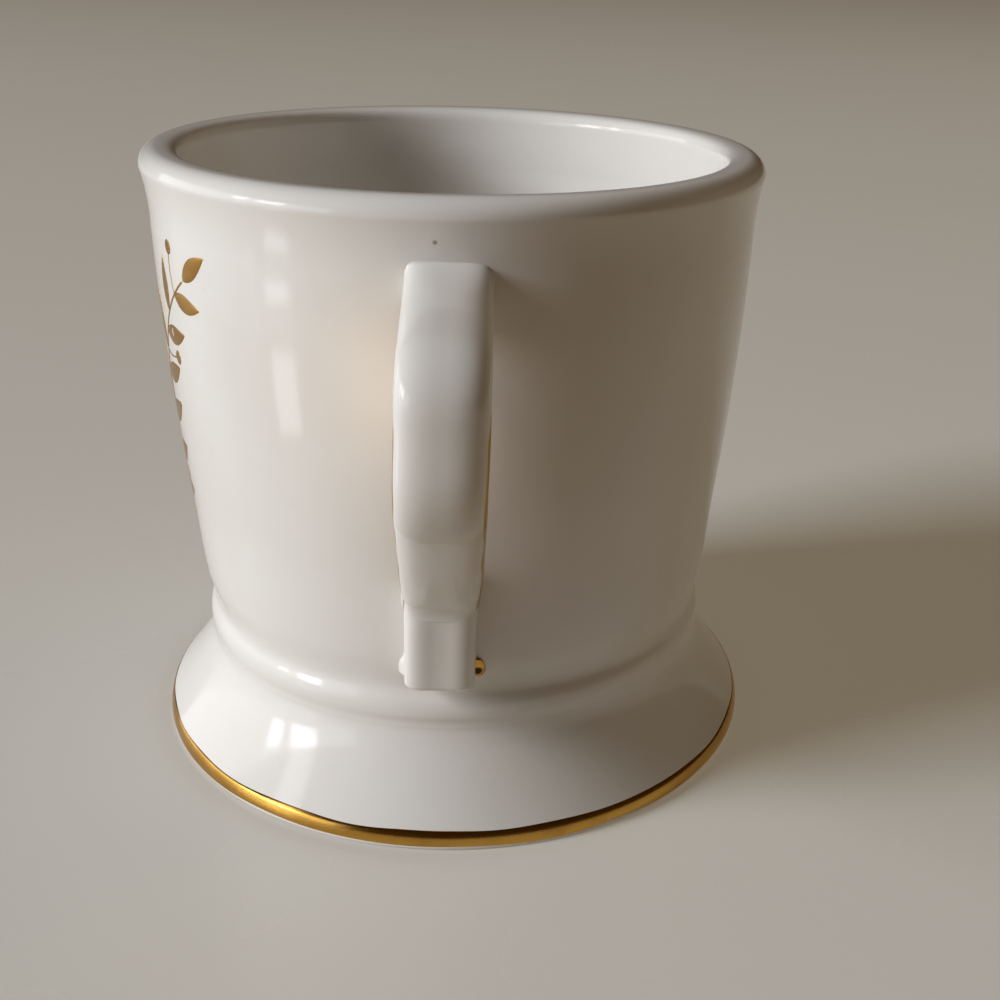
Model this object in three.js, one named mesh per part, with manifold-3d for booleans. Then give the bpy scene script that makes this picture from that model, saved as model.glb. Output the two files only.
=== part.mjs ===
// A coffee mug: a glazed stoneware cup on a flared foot, with an ear-shaped strap handle and gold trim.
// Millimetres, +Z up. The mug stands on z = 0 and its handle points towards -Y.
import * as THREE from 'three';
import { mergeVertices } from 'three/addons/utils/BufferGeometryUtils.js';
import Module from 'manifold-3d';

const wasm = await Module();
wasm.setup();

// Cup: the wall is a slightly barrelled cone between a bead at its foot and a rolled lip
const MUG_HEIGHT = 100;
const LIP_RADIUS = 50.6;
const LIP_ROLL_RADIUS = 2.8;
const LIP_NECK_HEIGHT = 12;
const WALL_TOP_RADIUS = 49.25;
const WALL_FOOT_RADIUS = 43;
const WALL_BELLY = 1;
const WALL_THICKNESS = 5;
const BEAD_RADIUS = 44;
const BEAD_HEIGHT = 8;
const BEAD_CREST = 2.8;
const FLOOR_THICKNESS = 5.5;
const FLOOR_CORNER = 9;

// Foot: a hollow skirt that flares from the waist to the table
const WAIST_RADIUS = 43.2;
const WAIST_HEIGHT = 16.5;
const FOOT_RADIUS = 52;
const FOOT_TOP_WALL = 6;
const FOOT_EDGE_ROUND = 0.8;
const FOOT_RING_WIDTH = 4.5;
const COVE_DEPTH = 6;

// Gold band: a thin ring let into the edge of the foot
const BAND_LOW = 1;
const BAND_HEIGHT = 2.1;
const BAND_LEAN = 0.8;
const BAND_THICKNESS = 0.5;

// Handle: its outer face runs out from the wall, down the grip and back in to the foot of the wall
const HANDLE_DROP = 9.4;
const ARM_FALL = 5.9;
const FINGER_GAP = 18;
const GRIP_HEIGHT = 20.8;
const LOWER_ROOT_RISE = 6.65;
const SHOULDER_RADIUS = 9.5;
const ELBOW_RADIUS = 16;
const STRAP_TOP_WIDTH = 11.7;
const STRAP_LOW_WIDTH = 11.1;
const STRAP_THICKNESS = 5.5;
const STRAP_EDGE_ROUND = 2;
const LINING_THICKNESS = 0.5;
const LINING_MARGIN = 0.6;
const HANDLE_TURN = THREE.MathUtils.degToRad(-1.35);
const HANDLE_LEAN = THREE.MathUtils.degToRad(1.6);

// Tail: the pad on the wall that the strap's lower end sits on
const TAIL_DROP = 6.15;
const TAIL_INSET = 0.3;
const TAIL_PROUD = 5;
const TAIL_EDGE_ROUND = 1.6;

// Joints: every luted joint is one layer of slip, and a coil of clay fills the corner round each root
const SLIP_LAYER = 0.3;
const ROOT_DEPTH = 3;
const COIL_SIZE = 1.2;
const COIL_LIP = 0.5;

// Facets
const TURN_SEGMENTS = 72;
const CURVE_STEPS = 4;
const BEND_STEPS = 7;
const EDGE_STEPS = 3;
const COIL_STEPS = 4;

// Places that follow from the sizes above
const wallFoot = WAIST_HEIGHT + BEAD_HEIGHT;
const wallTop = MUG_HEIGHT - LIP_NECK_HEIGHT;
const floorTop = WAIST_HEIGHT + FLOOR_THICKNESS;
const lipCentre = new THREE.Vector2(LIP_RADIUS - LIP_ROLL_RADIUS, MUG_HEIGHT - LIP_ROLL_RADIUS);
const handleThickness = STRAP_THICKNESS + SLIP_LAYER + LINING_THICKNESS;
const handleReach = WALL_TOP_RADIUS + FINGER_GAP + handleThickness;
const upperRoot = new THREE.Vector2(WALL_TOP_RADIUS, MUG_HEIGHT - HANDLE_DROP);
const shoulder = new THREE.Vector2(handleReach, upperRoot.y - ARM_FALL);
const elbow = new THREE.Vector2(handleReach, shoulder.y - GRIP_HEIGHT);
const armSlope = -ARM_FALL / (shoulder.x - upperRoot.x);
const lowerRoot = new THREE.Vector2(WALL_FOOT_RADIUS, wallFoot + LOWER_ROOT_RISE);
const lowerSlope = (elbow.y - lowerRoot.y) / (elbow.x - lowerRoot.x);

// Finishes
const glaze = () => new THREE.MeshStandardMaterial({ color: 0xe9e4dc, roughness: 0.12, metalness: 0 });
const gold = () => new THREE.MeshStandardMaterial({ color: 0xc9962f, roughness: 0.18, metalness: 1 });

/** Outside radius of the wall at a height: a cone with a parabolic belly. */
function wallRadius(height) {
  const share = (height - wallFoot) / (wallTop - wallFoot);
  const cone = THREE.MathUtils.lerp(WALL_FOOT_RADIUS, WALL_TOP_RADIUS, share);
  return cone + 4 * WALL_BELLY * share * (1 - share);
}

/** Lean of the wall at a height: how far its radius grows for each millimetre of height. */
function wallLean(height) {
  const share = (height - wallFoot) / (wallTop - wallFoot);
  const cone = WALL_TOP_RADIUS - WALL_FOOT_RADIUS;
  return (cone + 4 * WALL_BELLY * (1 - 2 * share)) / (wallTop - wallFoot);
}

/** The wall as a quadratic curve whose height runs evenly, moved in by an inset. */
function wallCurve(inset) {
  const middle = (WALL_FOOT_RADIUS + WALL_TOP_RADIUS) / 2 + 2 * WALL_BELLY;
  return new THREE.QuadraticBezierCurve(
    new THREE.Vector2(WALL_FOOT_RADIUS - inset, wallFoot),
    new THREE.Vector2(middle - inset, (wallFoot + wallTop) / 2),
    new THREE.Vector2(WALL_TOP_RADIUS - inset, wallTop),
  );
}

/** Merges shared points and drops the empty triangles that a profile leaves on its axis. */
function weld(geometry) {
  geometry.deleteAttribute('normal');
  geometry.deleteAttribute('uv');
  const merged = mergeVertices(geometry);
  const corners = merged.index.array;
  const kept = [];
  for (let i = 0; i < corners.length; i += 3) {
    const [a, b, c] = corners.slice(i, i + 3);
    if (a !== b && b !== c && c !== a) {
      kept.push(a, b, c);
    }
  }
  merged.setIndex(kept);
  return merged;
}

/** Turns a closed geometry into a solid that can be cut. */
function toSolid(geometry) {
  const vertProperties = new Float32Array(geometry.attributes.position.array);
  const triVerts = new Uint32Array(geometry.index.array);
  return new wasm.Manifold(new wasm.Mesh({ numProp: 3, vertProperties, triVerts }));
}

/** Takes each tool away from a geometry and gives the rest back as a geometry. */
function cut(geometry, tools) {
  const rest = tools.reduce((solid, tool) => solid.subtract(toSolid(tool)), toSolid(geometry));
  const mesh = rest.getMesh();
  const result = new THREE.BufferGeometry();
  result.setAttribute('position', new THREE.BufferAttribute(new Float32Array(mesh.vertProperties), 3));
  result.setIndex(Array.from(mesh.triVerts));
  return result;
}

/** Revolves a profile of (radius, height) points about Z; it runs anticlockwise round its section. */
function revolve(profile) {
  const points = profile.getPoints(CURVE_STEPS);
  return weld(new THREE.LatheGeometry(points, TURN_SEGMENTS).rotateX(Math.PI / 2));
}

/** Joins rings of equally many points into one closed body, with a fan over each end. */
function loft(rings) {
  const count = rings[0].length;
  const index = [];
  for (let ring = 0; ring + 1 < rings.length; ring += 1) {
    for (let side = 0; side < count; side += 1) {
      const here = ring * count + side;
      const next = ring * count + ((side + 1) % count);
      index.push(here, next, next + count, here, next + count, here + count);
    }
  }
  const last = (rings.length - 1) * count;
  for (let side = 1; side + 1 < count; side += 1) {
    index.push(0, side + 1, side);
    index.push(last, last + side, last + side + 1);
  }
  const geometry = new THREE.BufferGeometry().setFromPoints(rings.flat());
  geometry.setIndex(index);
  return geometry;
}

/** Outline of a rectangle with round corners, anticlockwise. */
function roundedRectangle(middleX, middleY, width, height, radius) {
  const right = width / 2 - radius;
  const top = height / 2 - radius;
  const outline = new THREE.Path();
  outline.absarc(middleX + right, middleY + top, radius, 0, Math.PI / 2);
  outline.absarc(middleX - right, middleY + top, radius, Math.PI / 2, Math.PI);
  outline.absarc(middleX - right, middleY - top, radius, Math.PI, 1.5 * Math.PI);
  outline.absarc(middleX + right, middleY - top, radius, 1.5 * Math.PI, 2 * Math.PI);
  return outline.getPoints(EDGE_STEPS);
}

/** Left-hand side of a direction in the handle's plane, which is the handle's outer side. */
function outerSide(direction) {
  return new THREE.Vector2(-direction.y, direction.x);
}

/** Stations of a run that turns right at each corner: a point on the outer face and its direction. */
function roundedRun(corners, radii) {
  const headings = corners.slice(1).map((corner, i) => corner.clone().sub(corners[i]).normalize());
  const stations = [{ point: corners[0], direction: headings[0] }];
  radii.forEach((radius, i) => {
    const turn = Math.acos(headings[i].dot(headings[i + 1]));
    const setback = radius * Math.tan(turn / 2);
    const start = corners[i + 1].clone().addScaledVector(headings[i], -setback);
    const centre = start.addScaledVector(outerSide(headings[i]), -radius);
    for (let step = 0; step <= BEND_STEPS; step += 1) {
      const turned = (-turn * step) / BEND_STEPS;
      const direction = headings[i].clone().rotateAround(new THREE.Vector2(), turned);
      const point = centre.clone().addScaledVector(outerSide(direction), radius);
      stations.push({ point, direction });
    }
  });
  stations.push({ point: corners.at(-1), direction: headings.at(-1) });
  return stations;
}

/** One ring of a swept section: across is along X and depth is measured in from the outer face. */
function sectionRing(station, width, depthFrom, depthTo, radius) {
  const outer = outerSide(station.direction);
  const middle = -(depthFrom + depthTo) / 2;
  const outline = roundedRectangle(0, middle, width, depthTo - depthFrom, radius);
  return outline.map(({ x, y }) => {
    const place = station.point.clone().addScaledVector(outer, y);
    return new THREE.Vector3(x, -place.x, place.y);
  });
}

/** Turns and leans a handle piece as the handle sits on the cup, about the middle of its grip. */
function setOnCup(geometry) {
  const gripMiddle = (shoulder.y + elbow.y) / 2;
  geometry.translate(0, 0, -gripMiddle).rotateY(HANDLE_LEAN).translate(0, 0, gripMiddle);
  return geometry.rotateZ(HANDLE_TURN);
}

/** Outside of the cup, grown by a clearance, filled to the axis and carried straight down to the table. */
function cupEnvelope(clearance) {
  const profile = new THREE.Path();
  profile.moveTo(0, 0);
  profile.lineTo(WAIST_RADIUS + clearance, 0);
  addCupOutside(profile, clearance);
  profile.lineTo(0, MUG_HEIGHT + clearance);
  return revolve(profile);
}

/** Outside of the cup from the waist to the top of the lip, grown outwards by a clearance. */
function addCupOutside(profile, clearance) {
  const crest = WAIST_HEIGHT + BEAD_CREST;
  const flank = (wallFoot - crest) / 2;
  const drawIn = wallLean(wallFoot) * flank;
  const wall = wallCurve(-clearance);
  profile.lineTo(WAIST_RADIUS + clearance, WAIST_HEIGHT);
  profile.quadraticCurveTo(
    BEAD_RADIUS + clearance, WAIST_HEIGHT,
    BEAD_RADIUS + clearance, crest,
  );
  profile.bezierCurveTo(
    BEAD_RADIUS + clearance, crest + flank,
    WALL_FOOT_RADIUS + clearance - drawIn, wallFoot - flank,
    WALL_FOOT_RADIUS + clearance, wallFoot,
  );
  profile.quadraticCurveTo(wall.v1.x, wall.v1.y, wall.v2.x, wall.v2.y);
  profile.quadraticCurveTo(
    WALL_TOP_RADIUS + clearance, (wallTop + lipCentre.y) / 2,
    LIP_RADIUS + clearance, lipCentre.y,
  );
  profile.absarc(lipCentre.x, lipCentre.y, LIP_ROLL_RADIUS + clearance, 0, Math.PI / 2);
}

/** Cup: a revolved shell with a bead at the foot of the wall, a rolled lip and a round-cornered floor. */
function cupBody() {
  const inside = wallCurve(WALL_THICKNESS);
  const profile = new THREE.Path();
  profile.moveTo(0, WAIST_HEIGHT);
  addCupOutside(profile, 0);
  profile.absarc(lipCentre.x, lipCentre.y, LIP_ROLL_RADIUS, Math.PI / 2, Math.PI);
  profile.quadraticCurveTo(
    lipCentre.x - LIP_ROLL_RADIUS, (wallTop + lipCentre.y) / 2,
    inside.v2.x, inside.v2.y,
  );
  profile.quadraticCurveTo(inside.v1.x, inside.v1.y, inside.v0.x, inside.v0.y);
  profile.quadraticCurveTo(inside.v0.x, floorTop, inside.v0.x - FLOOR_CORNER, floorTop);
  profile.lineTo(0, floorTop);
  return revolve(profile);
}

/** Edge of the foot that the gold covers, from top to bottom, moved in from the outside by an inset. */
function addBandEdge(profile, inset, margin) {
  const top = BAND_LOW + BAND_HEIGHT + margin;
  profile.lineTo(FOOT_RADIUS - BAND_LEAN - inset, top);
  profile.quadraticCurveTo(FOOT_RADIUS - inset, top - BAND_LEAN, FOOT_RADIUS - inset, BAND_LOW - margin);
}

/** Foot: a hollow flared skirt, coved outside, with a seat for the gold in its edge. */
function footSkirt() {
  const top = WAIST_HEIGHT - SLIP_LAYER;
  const bandTop = BAND_LOW + BAND_HEIGHT + SLIP_LAYER;
  const ringOutside = FOOT_RADIUS - FOOT_EDGE_ROUND;
  const ringInside = ringOutside - FOOT_RING_WIDTH;
  const topInside = WAIST_RADIUS - FOOT_TOP_WALL;
  const profile = new THREE.Path();
  profile.moveTo(topInside, top);
  profile.quadraticCurveTo(topInside, WAIST_HEIGHT - COVE_DEPTH, ringInside, 0);
  profile.lineTo(ringOutside, 0);
  profile.lineTo(FOOT_RADIUS, BAND_LOW - SLIP_LAYER);
  const seat = new THREE.Path();
  seat.moveTo(FOOT_RADIUS - BAND_LEAN, bandTop);
  addBandEdge(seat, BAND_THICKNESS + SLIP_LAYER, SLIP_LAYER);
  seat.getPoints(CURVE_STEPS).reverse().forEach(({ x, y }) => profile.lineTo(x, y));
  profile.quadraticCurveTo(WAIST_RADIUS, WAIST_HEIGHT - COVE_DEPTH, WAIST_RADIUS, top);
  profile.lineTo(topInside, top);
  return revolve(profile);
}

/** Gold band: a thin ring that fills its seat in the edge of the foot. */
function footGoldBand() {
  const inside = new THREE.Path();
  inside.moveTo(FOOT_RADIUS - BAND_LEAN, BAND_LOW + BAND_HEIGHT);
  addBandEdge(inside, BAND_THICKNESS, 0);
  const outside = new THREE.Path();
  outside.moveTo(FOOT_RADIUS - BAND_LEAN, BAND_LOW + BAND_HEIGHT);
  addBandEdge(outside, 0, 0);
  const [start, ...rest] = inside.getPoints(CURVE_STEPS);
  const profile = new THREE.Path();
  profile.moveTo(start.x, start.y);
  rest.forEach(({ x, y }) => profile.lineTo(x, y));
  outside.getPoints(CURVE_STEPS).reverse().forEach(({ x, y }) => profile.lineTo(x, y));
  return revolve(profile);
}

/** Outer face of the handle, from inside the wall at the top root to inside the wall at the lower one. */
function handleRun() {
  const start = new THREE.Vector2(upperRoot.x - ROOT_DEPTH, upperRoot.y - ROOT_DEPTH * armSlope);
  const end = new THREE.Vector2(lowerRoot.x - ROOT_DEPTH, lowerRoot.y - ROOT_DEPTH * lowerSlope);
  return roundedRun([start, shoulder, elbow, end], [SHOULDER_RADIUS, ELBOW_RADIUS]);
}

/** Sweeps a section down the handle; its width tapers with the distance travelled. */
function handleSweep(depthFrom, depthTo, sideMargin, radius) {
  const stations = handleRun();
  const travelled = [0];
  stations.slice(1).forEach(({ point }, i) => {
    travelled.push(travelled[i] + point.distanceTo(stations[i].point));
  });
  const rings = stations.map((station, i) => {
    const share = travelled[i] / travelled.at(-1);
    const width = THREE.MathUtils.lerp(STRAP_TOP_WIDTH, STRAP_LOW_WIDTH, share) + 2 * sideMargin;
    return sectionRing(station, width, depthFrom, depthTo, radius);
  });
  return setOnCup(loft(rings));
}

/** Whole handle with its gold lining, grown by one layer of slip. */
function handleEnvelope() {
  return handleSweep(-SLIP_LAYER, handleThickness + SLIP_LAYER, SLIP_LAYER, STRAP_EDGE_ROUND);
}

/** Strap: the ear-shaped bow, butted against the wall at both ends. */
function handleStrap() {
  return cut(handleSweep(0, STRAP_THICKNESS, 0, STRAP_EDGE_ROUND), [cupEnvelope(SLIP_LAYER)]);
}

/** Gold lining: a thin strip along the inside of the bow, between the two coils. */
function handleGoldLining() {
  const inner = STRAP_THICKNESS + SLIP_LAYER;
  const strip = handleSweep(inner, inner + LINING_THICKNESS, -LINING_MARGIN, LINING_THICKNESS / 2);
  const coils = [upperCoilEnvelope(SLIP_LAYER), lowerCoilEnvelope(SLIP_LAYER)];
  return cut(strip, [cupEnvelope(SLIP_LAYER), ...coils]);
}

/** Tail pad before it is cut: a block along the foot of the wall with a rounded lower end. */
function tailBlock(margin) {
  const direction = new THREE.Vector2(-wallLean(wallFoot), -1).normalize();
  const proud = TAIL_PROUD + margin;
  const drop = TAIL_DROP + margin;
  const bottom = new THREE.Vector2(lowerRoot.x + proud, lowerRoot.y - drop);
  const faceToStrap = drop + proud * lowerSlope;
  const straight = faceToStrap + handleThickness / 2;
  const depth = proud + ROOT_DEPTH;
  const width = STRAP_LOW_WIDTH - 2 * TAIL_INSET + 2 * margin;
  const ringAt = (up, inset) => {
    const point = bottom.clone().addScaledVector(direction, -up);
    return sectionRing({ point, direction }, width - 2 * inset, inset, depth, TAIL_EDGE_ROUND);
  };
  const rings = [ringAt(straight, 0)];
  for (let step = 0; step <= EDGE_STEPS; step += 1) {
    const angle = (step / EDGE_STEPS) * (Math.PI / 2);
    const up = TAIL_EDGE_ROUND * (1 - Math.sin(angle));
    rings.push(ringAt(up, TAIL_EDGE_ROUND * (1 - Math.cos(angle))));
  }
  return setOnCup(loft(rings));
}

/** Tail: the pad with a sloping seat for the strap, butted against the wall. */
function handleTail() {
  return cut(tailBlock(0), [handleEnvelope(), cupEnvelope(SLIP_LAYER)]);
}

/** Coil of clay round a root: a collar that leans with the wall and draws in along a quarter circle. */
function coilEnvelope(corner, slope, strapWidth, clearance) {
  const faceSign = slope > 0 ? 1 : -1;
  const wallHeight = corner.y + faceSign * handleThickness;
  const lean = wallLean(wallHeight);
  const steepening = 1 / (1 - lean * slope);
  const strapDrop = handleThickness * Math.hypot(1, slope) * steepening;
  const wallAt = (height) => wallRadius(wallHeight) + lean * (height - wallHeight);
  const ringAt = (outward, margin) => {
    const face = corner.y + (wallAt(corner.y) + outward - corner.x) * slope * steepening;
    const middle = face + (faceSign * strapDrop) / 2;
    const width = strapWidth + 2 * margin;
    const outline = roundedRectangle(0, middle, width, strapDrop + 2 * margin, STRAP_EDGE_ROUND);
    return outline.map(({ x, y }) => new THREE.Vector3(x, -(wallAt(y) + outward), y));
  };
  const rings = [ringAt(-ROOT_DEPTH, COIL_SIZE + clearance)];
  for (let step = 0; step <= COIL_STEPS; step += 1) {
    const angle = (step / COIL_STEPS) * (Math.PI / 2);
    const outward = COIL_SIZE * (1 - Math.cos(angle)) + clearance;
    rings.push(ringAt(outward, COIL_SIZE + (COIL_LIP - COIL_SIZE) * Math.sin(angle) + clearance));
  }
  return setOnCup(loft(rings));
}

/** Coil round the upper root, whose strap hangs below its outer face. */
function upperCoilEnvelope(clearance) {
  return coilEnvelope(upperRoot, armSlope, STRAP_TOP_WIDTH, clearance);
}

/** Coil round the lower root, whose strap lies above its outer face. */
function lowerCoilEnvelope(clearance) {
  return coilEnvelope(lowerRoot, lowerSlope, STRAP_LOW_WIDTH, clearance);
}

/** Upper coil: a collar fitted round the strap and against the wall. */
function upperLutingCoil() {
  return cut(upperCoilEnvelope(0), [handleEnvelope(), cupEnvelope(SLIP_LAYER)]);
}

/** Lower coil: an arch over the strap's root that ends on both sides of the tail. */
function lowerLutingCoil() {
  return cut(lowerCoilEnvelope(0), [handleEnvelope(), cupEnvelope(SLIP_LAYER), tailBlock(SLIP_LAYER)]);
}

/** A named piece of the mug. */
function piece(name, geometry, material) {
  const mesh = new THREE.Mesh(geometry, material);
  mesh.name = name;
  return mesh;
}

// The origin is under the middle of the whole mug, handle included
const mug = new THREE.Group();
mug.position.y = (handleReach - FOOT_RADIUS) / 2;
mug.add(
  piece('cup_body', cupBody(), glaze()),
  piece('foot_skirt', footSkirt(), glaze()),
  piece('foot_gold_band', footGoldBand(), gold()),
  piece('handle_strap', handleStrap(), glaze()),
  piece('handle_gold_lining', handleGoldLining(), gold()),
  piece('handle_tail', handleTail(), glaze()),
  piece('upper_luting_coil', upperLutingCoil(), glaze()),
  piece('lower_luting_coil', lowerLutingCoil(), glaze()),
);

const model = new THREE.Group();
model.add(mug);

export default model;
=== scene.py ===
"""Looks of a coffee mug in glazed stoneware: rolled lip, flared foot, ear-shaped handle and fired gold.

Each piece is a surface worked out on a grid, in metres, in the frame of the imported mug: +Z is up, the mug
stands on z = 0 and its handle points towards -Y. Each finish is made of shader nodes.
"""
import math
from typing import NamedTuple

import bpy
import numpy as np
from bpy.props import FloatProperty, FloatVectorProperty, PointerProperty
from mathutils import Matrix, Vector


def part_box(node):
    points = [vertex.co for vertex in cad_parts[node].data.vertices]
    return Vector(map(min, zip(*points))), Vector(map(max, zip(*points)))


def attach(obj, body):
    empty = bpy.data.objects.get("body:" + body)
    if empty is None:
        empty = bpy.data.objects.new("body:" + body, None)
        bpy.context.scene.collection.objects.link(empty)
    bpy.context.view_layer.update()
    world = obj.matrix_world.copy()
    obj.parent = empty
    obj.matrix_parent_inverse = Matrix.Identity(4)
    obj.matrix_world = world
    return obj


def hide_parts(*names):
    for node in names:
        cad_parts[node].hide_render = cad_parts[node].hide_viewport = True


bl_info = {
    "name": "Footed coffee mug",
    "version": (1, 0, 0),
    "blender": (4, 5, 0),
    "location": "View3D > Sidebar > Mug",
    "description": "Builds a glazed mug with a flared foot, a strap handle and gold trim",
    "category": "Add Mesh",
}

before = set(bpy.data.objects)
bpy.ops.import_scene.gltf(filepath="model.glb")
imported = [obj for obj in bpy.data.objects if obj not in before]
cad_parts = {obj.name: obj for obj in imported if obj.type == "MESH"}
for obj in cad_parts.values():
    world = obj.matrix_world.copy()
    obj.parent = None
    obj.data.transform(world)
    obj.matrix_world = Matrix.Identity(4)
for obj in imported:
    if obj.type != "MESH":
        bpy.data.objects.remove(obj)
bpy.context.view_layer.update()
CUP_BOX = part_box("cup_body")

MM = 0.001
FULL_TURN = 2 * math.pi

# Points round each kind of section
TURNS = 300
STRAP_SIDES = 96
COIL_SIDES = 90
TAIL_SIDES = 96
FILM_SIDES = 40
STROKE_SIDES = 14
TABLE_SIDES = 96

# Points along each run of a profile or a path
STEPS = {
    "underside": 12, "cup heel": 8, "bead foot": 28, "bead": 30, "wall": 90, "neck": 22, "lip": 20,
    "brim": 24, "inner neck": 16, "inner wall": 60, "corner": 16, "floor": 14,
    "hollow": 40, "ring": 8, "foot heel": 10, "edge": 14, "cove": 70, "fillet": 4, "lid": 16,
    "bend": 26, "strap end": 6, "tail": 43, "tail end": 14, "tail side": 24, "tail back": 14,
    "coil": 12, "halving": 40, "stem": 120, "leaf": 26, "berry": 18, "drop": 24,
}

# Waves in the surfaces: seed of the chance, number of waves and the shortest of them
WAVES = {
    "wall": (4, 26, 11 * MM),
    "crease": (11, 6, 6 * MM),
    "crease ends": (12, 5, 5 * MM),
    "strap face": (13, 8, 16 * MM),
    "strap sides": (14, 6, 14 * MM),
    "tail": (21, 10, 7 * MM),
    "tail step": (22, 5, 5 * MM),
    "band top": (31, 14, 14 * MM),
    "band foot": (32, 14, 14 * MM),
    "lining left": (41, 8, 9 * MM),
    "lining right": (42, 8, 9 * MM),
}
WAVE_SPREAD = (0.3, 1)

# Noise in the finishes: strength of each finer layer, then the width of its lumps and layers of detail
LAYER_STRENGTH = 0.55
GRAIN = {
    "glaze cloud": (38 * MM, 3),
    "glaze mottle": (5 * MM, 2),
    "glaze ripple": (9 * MM, 1),
    "glaze peel": (1.4 * MM, 2),
    "clay": (0.6 * MM, 3),
    "gold cloud": (7 * MM, 3),
    "gold grain": (0.5 * MM, 2),
    "gold wear": (3.2 * MM, 4),
    "table cloud": (90 * MM, 3),
    "table grain": (1.1 * MM, 2),
}

# Heights of the finest relief, which only the shading shows
RIPPLE_HEIGHT = 0.03 * MM
PEEL_HEIGHT = 0.0015 * MM
BRUSH_HEIGHT = 0.03 * MM
GOLD_GRAIN_HEIGHT = 0.004 * MM
TABLE_GRAIN_HEIGHT = 0.002 * MM

# Iron specks: width of their cells, random numbers that make a speck, and its edge as a share of the cell
SPECK_CELL = 4.5 * MM
SPECK_CHOICE = (0.955, 0.965)
SPECK_EDGE = (0.02, 0.045)

# Pinholes in the glaze, painted as flat dark spots: middle and radius
WALL_PIT = ((-2.6 * MM, -38.8 * MM, 93.8 * MM), 0.34 * MM)
STRAP_PIT = ((1.0 * MM, -62.7 * MM, 61.5 * MM), 0.35 * MM)

# Shares of the darker colour in specks and pits, a pit's being the clay it bares and painted shade of its
# hole, and the dark core of a pit or a burn in its radius
SPECK_SHARE = 0.55
PIT_CLAY_AND_SHADE_SHARE = 0.75
PIT_CORE = 0.4
BURN_CORE = 0.5

# Where its noise thins a glaze or a gold, how much it does, and where it wears the gold through
CLOUD_THIN = (0.42, 0.72)
CLOUD_SHARE = 0.45
MOTTLE_THIN = (0.45, 0.8)
MOTTLE_SHARE = 0.12
GOLD_THIN = (0.45, 0.75)
GOLD_THIN_SHARE = 0.5
GOLD_WORN = (0.715, 0.75)
WORN_DULLING = 0.8

# Bare clay: how far its edge wavers, where it starts to fade as a share of its height, and its roughness
BARE_WAVER = 0.3 * MM
BARE_FADE = 0.5
BARE_ROUGHNESS = 0.6

# The table's darker colour as a share of its own, and how much of it each noise brings
TABLE_DARKER = 0.93
TABLE_CLOUD_SHARE = 0.5
TABLE_GRAIN_SHARE = 0.25

# Roughness: the least of it, then what each noise of the finish adds
GLAZE_ROUGHNESS = (0.07, 0.05, 0.03)
GOLD_ROUGHNESS = (0.12, 0.12, 0.06)
TABLE_ROUGHNESS = (0.24, 0.06)
FLAG_ROUGHNESS = 0.9

# Places of the colour sockets of a Mix node: two inputs and the output
MIX_FIRST = 6
MIX_SECOND = 7
MIX_RESULT = 2

# How strongly the glaze and the lacquer bend light
GLAZE_IOR = 1.5
LACQUER_IOR = 1.35

# Finer shapes of the cup: its slow waves, each with its lobes, phase and share, come first
LOBES = ((2, 0.7, 1.0), (3, -1.1, 0.5))
RIPPLE_RISE = 4
EVEN_RADIUS = 20 * MM
HUB_RADIUS = 2 * MM
TUCK_START = 5 * MM
TUCK_TOP = 20 * MM
TUCK_FADE = 14 * MM
BRIM_ROUND = 1.3 * MM
BRIM_FALL = 0.3 * MM
CUP_HEEL = 1 * MM
CUP_START = 0.35

# Finer shapes of the foot: rises are shares of its lap on the cup, in whose clay its lid is hidden
SLIP_PROUD = 0.02 * MM
SLIP_SINK = 2.4
LID_INSET = 1 * MM
LID_RISE = 1.3
BARE_CLAY = 0.35 * MM

# Finer shapes of the strap
STRAP_STEP = 0.8 * MM
END_RUN = 1.6 * MM
NARROW_RUN = 7 * MM
ROOT_RUN = 12 * MM
SEAM_RUN = 8 * MM
CREASE_WAVER = 0.5 * MM
CREASE_WIDTH = 0.55 * MM
CREASE_HALF = 3.6 * MM
CREASE_REACH = 1.6
CREASE_BREAK = 0.35
FACE_WAVER = 0.012 * MM
SIDE_WAVER = 0.03 * MM

# Finer shapes of the tail: shares run from its front to its back
TAIL_INSET = 1 * MM
TAIL_SUNK = 1.5 * MM
TAIL_UNEVEN = 0.9
FLARE = 0.45 * MM
FLARE_FROM = 0.25
FLARE_TO = 0.75
LUMP_RISE = 1.7 * MM
LUMP_TALLNESS = 1.9 * MM
LUMP_SHARE = 0.45
LUMP_SPREAD = 0.26
LUMP_SIDE = -0.9

# Finer shapes of the coils: stations are the strap's, and angles are those of its section
COIL_STATION = 2
COIL_BRACKET = 16 * MM
COIL_SUNK = 0.08 * MM
COIL_ROOT = 0.8 * MM
COIL_LIFT = 0.4
COIL_FLAT_LIFT = 0.6
CORNER_LIFT = 0.85
CORNER_ANGLE = 0.72 * math.pi
CORNER_SPREAD = 0.32
ARCH_START = 0.93 * math.pi
ARCH_END = 2.07 * math.pi
ARCH_FADE = 0.25
ARCH_THIN = 0.1
BEFORE_BEND = 4
LEAST_TURN = 0.001

# Finer shapes of the gold: edges and insets are shares of the film and of the brush's waver
EDGE_POWER = 10
EDGE_SUNK = 0.3
BRUSH_INSET = 0.6
LINING_LEFT = 0.7
LINING_START = 30 * MM
LINING_RUN = 7 * MM
LINING_STATIONS = slice(10, -18)
STROKE_EDGE = 0.3 * MM
SMALLEST = 0.02
DROP_WIDTH = 0.65
DROP_PROUD = 0.5 * MM
STROKE_FILMS = 1.6
BURN_LIFT = 0.45 * MM
BURN_PLACE = 8
BURN_RADIUS = 1.0 * MM

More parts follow.
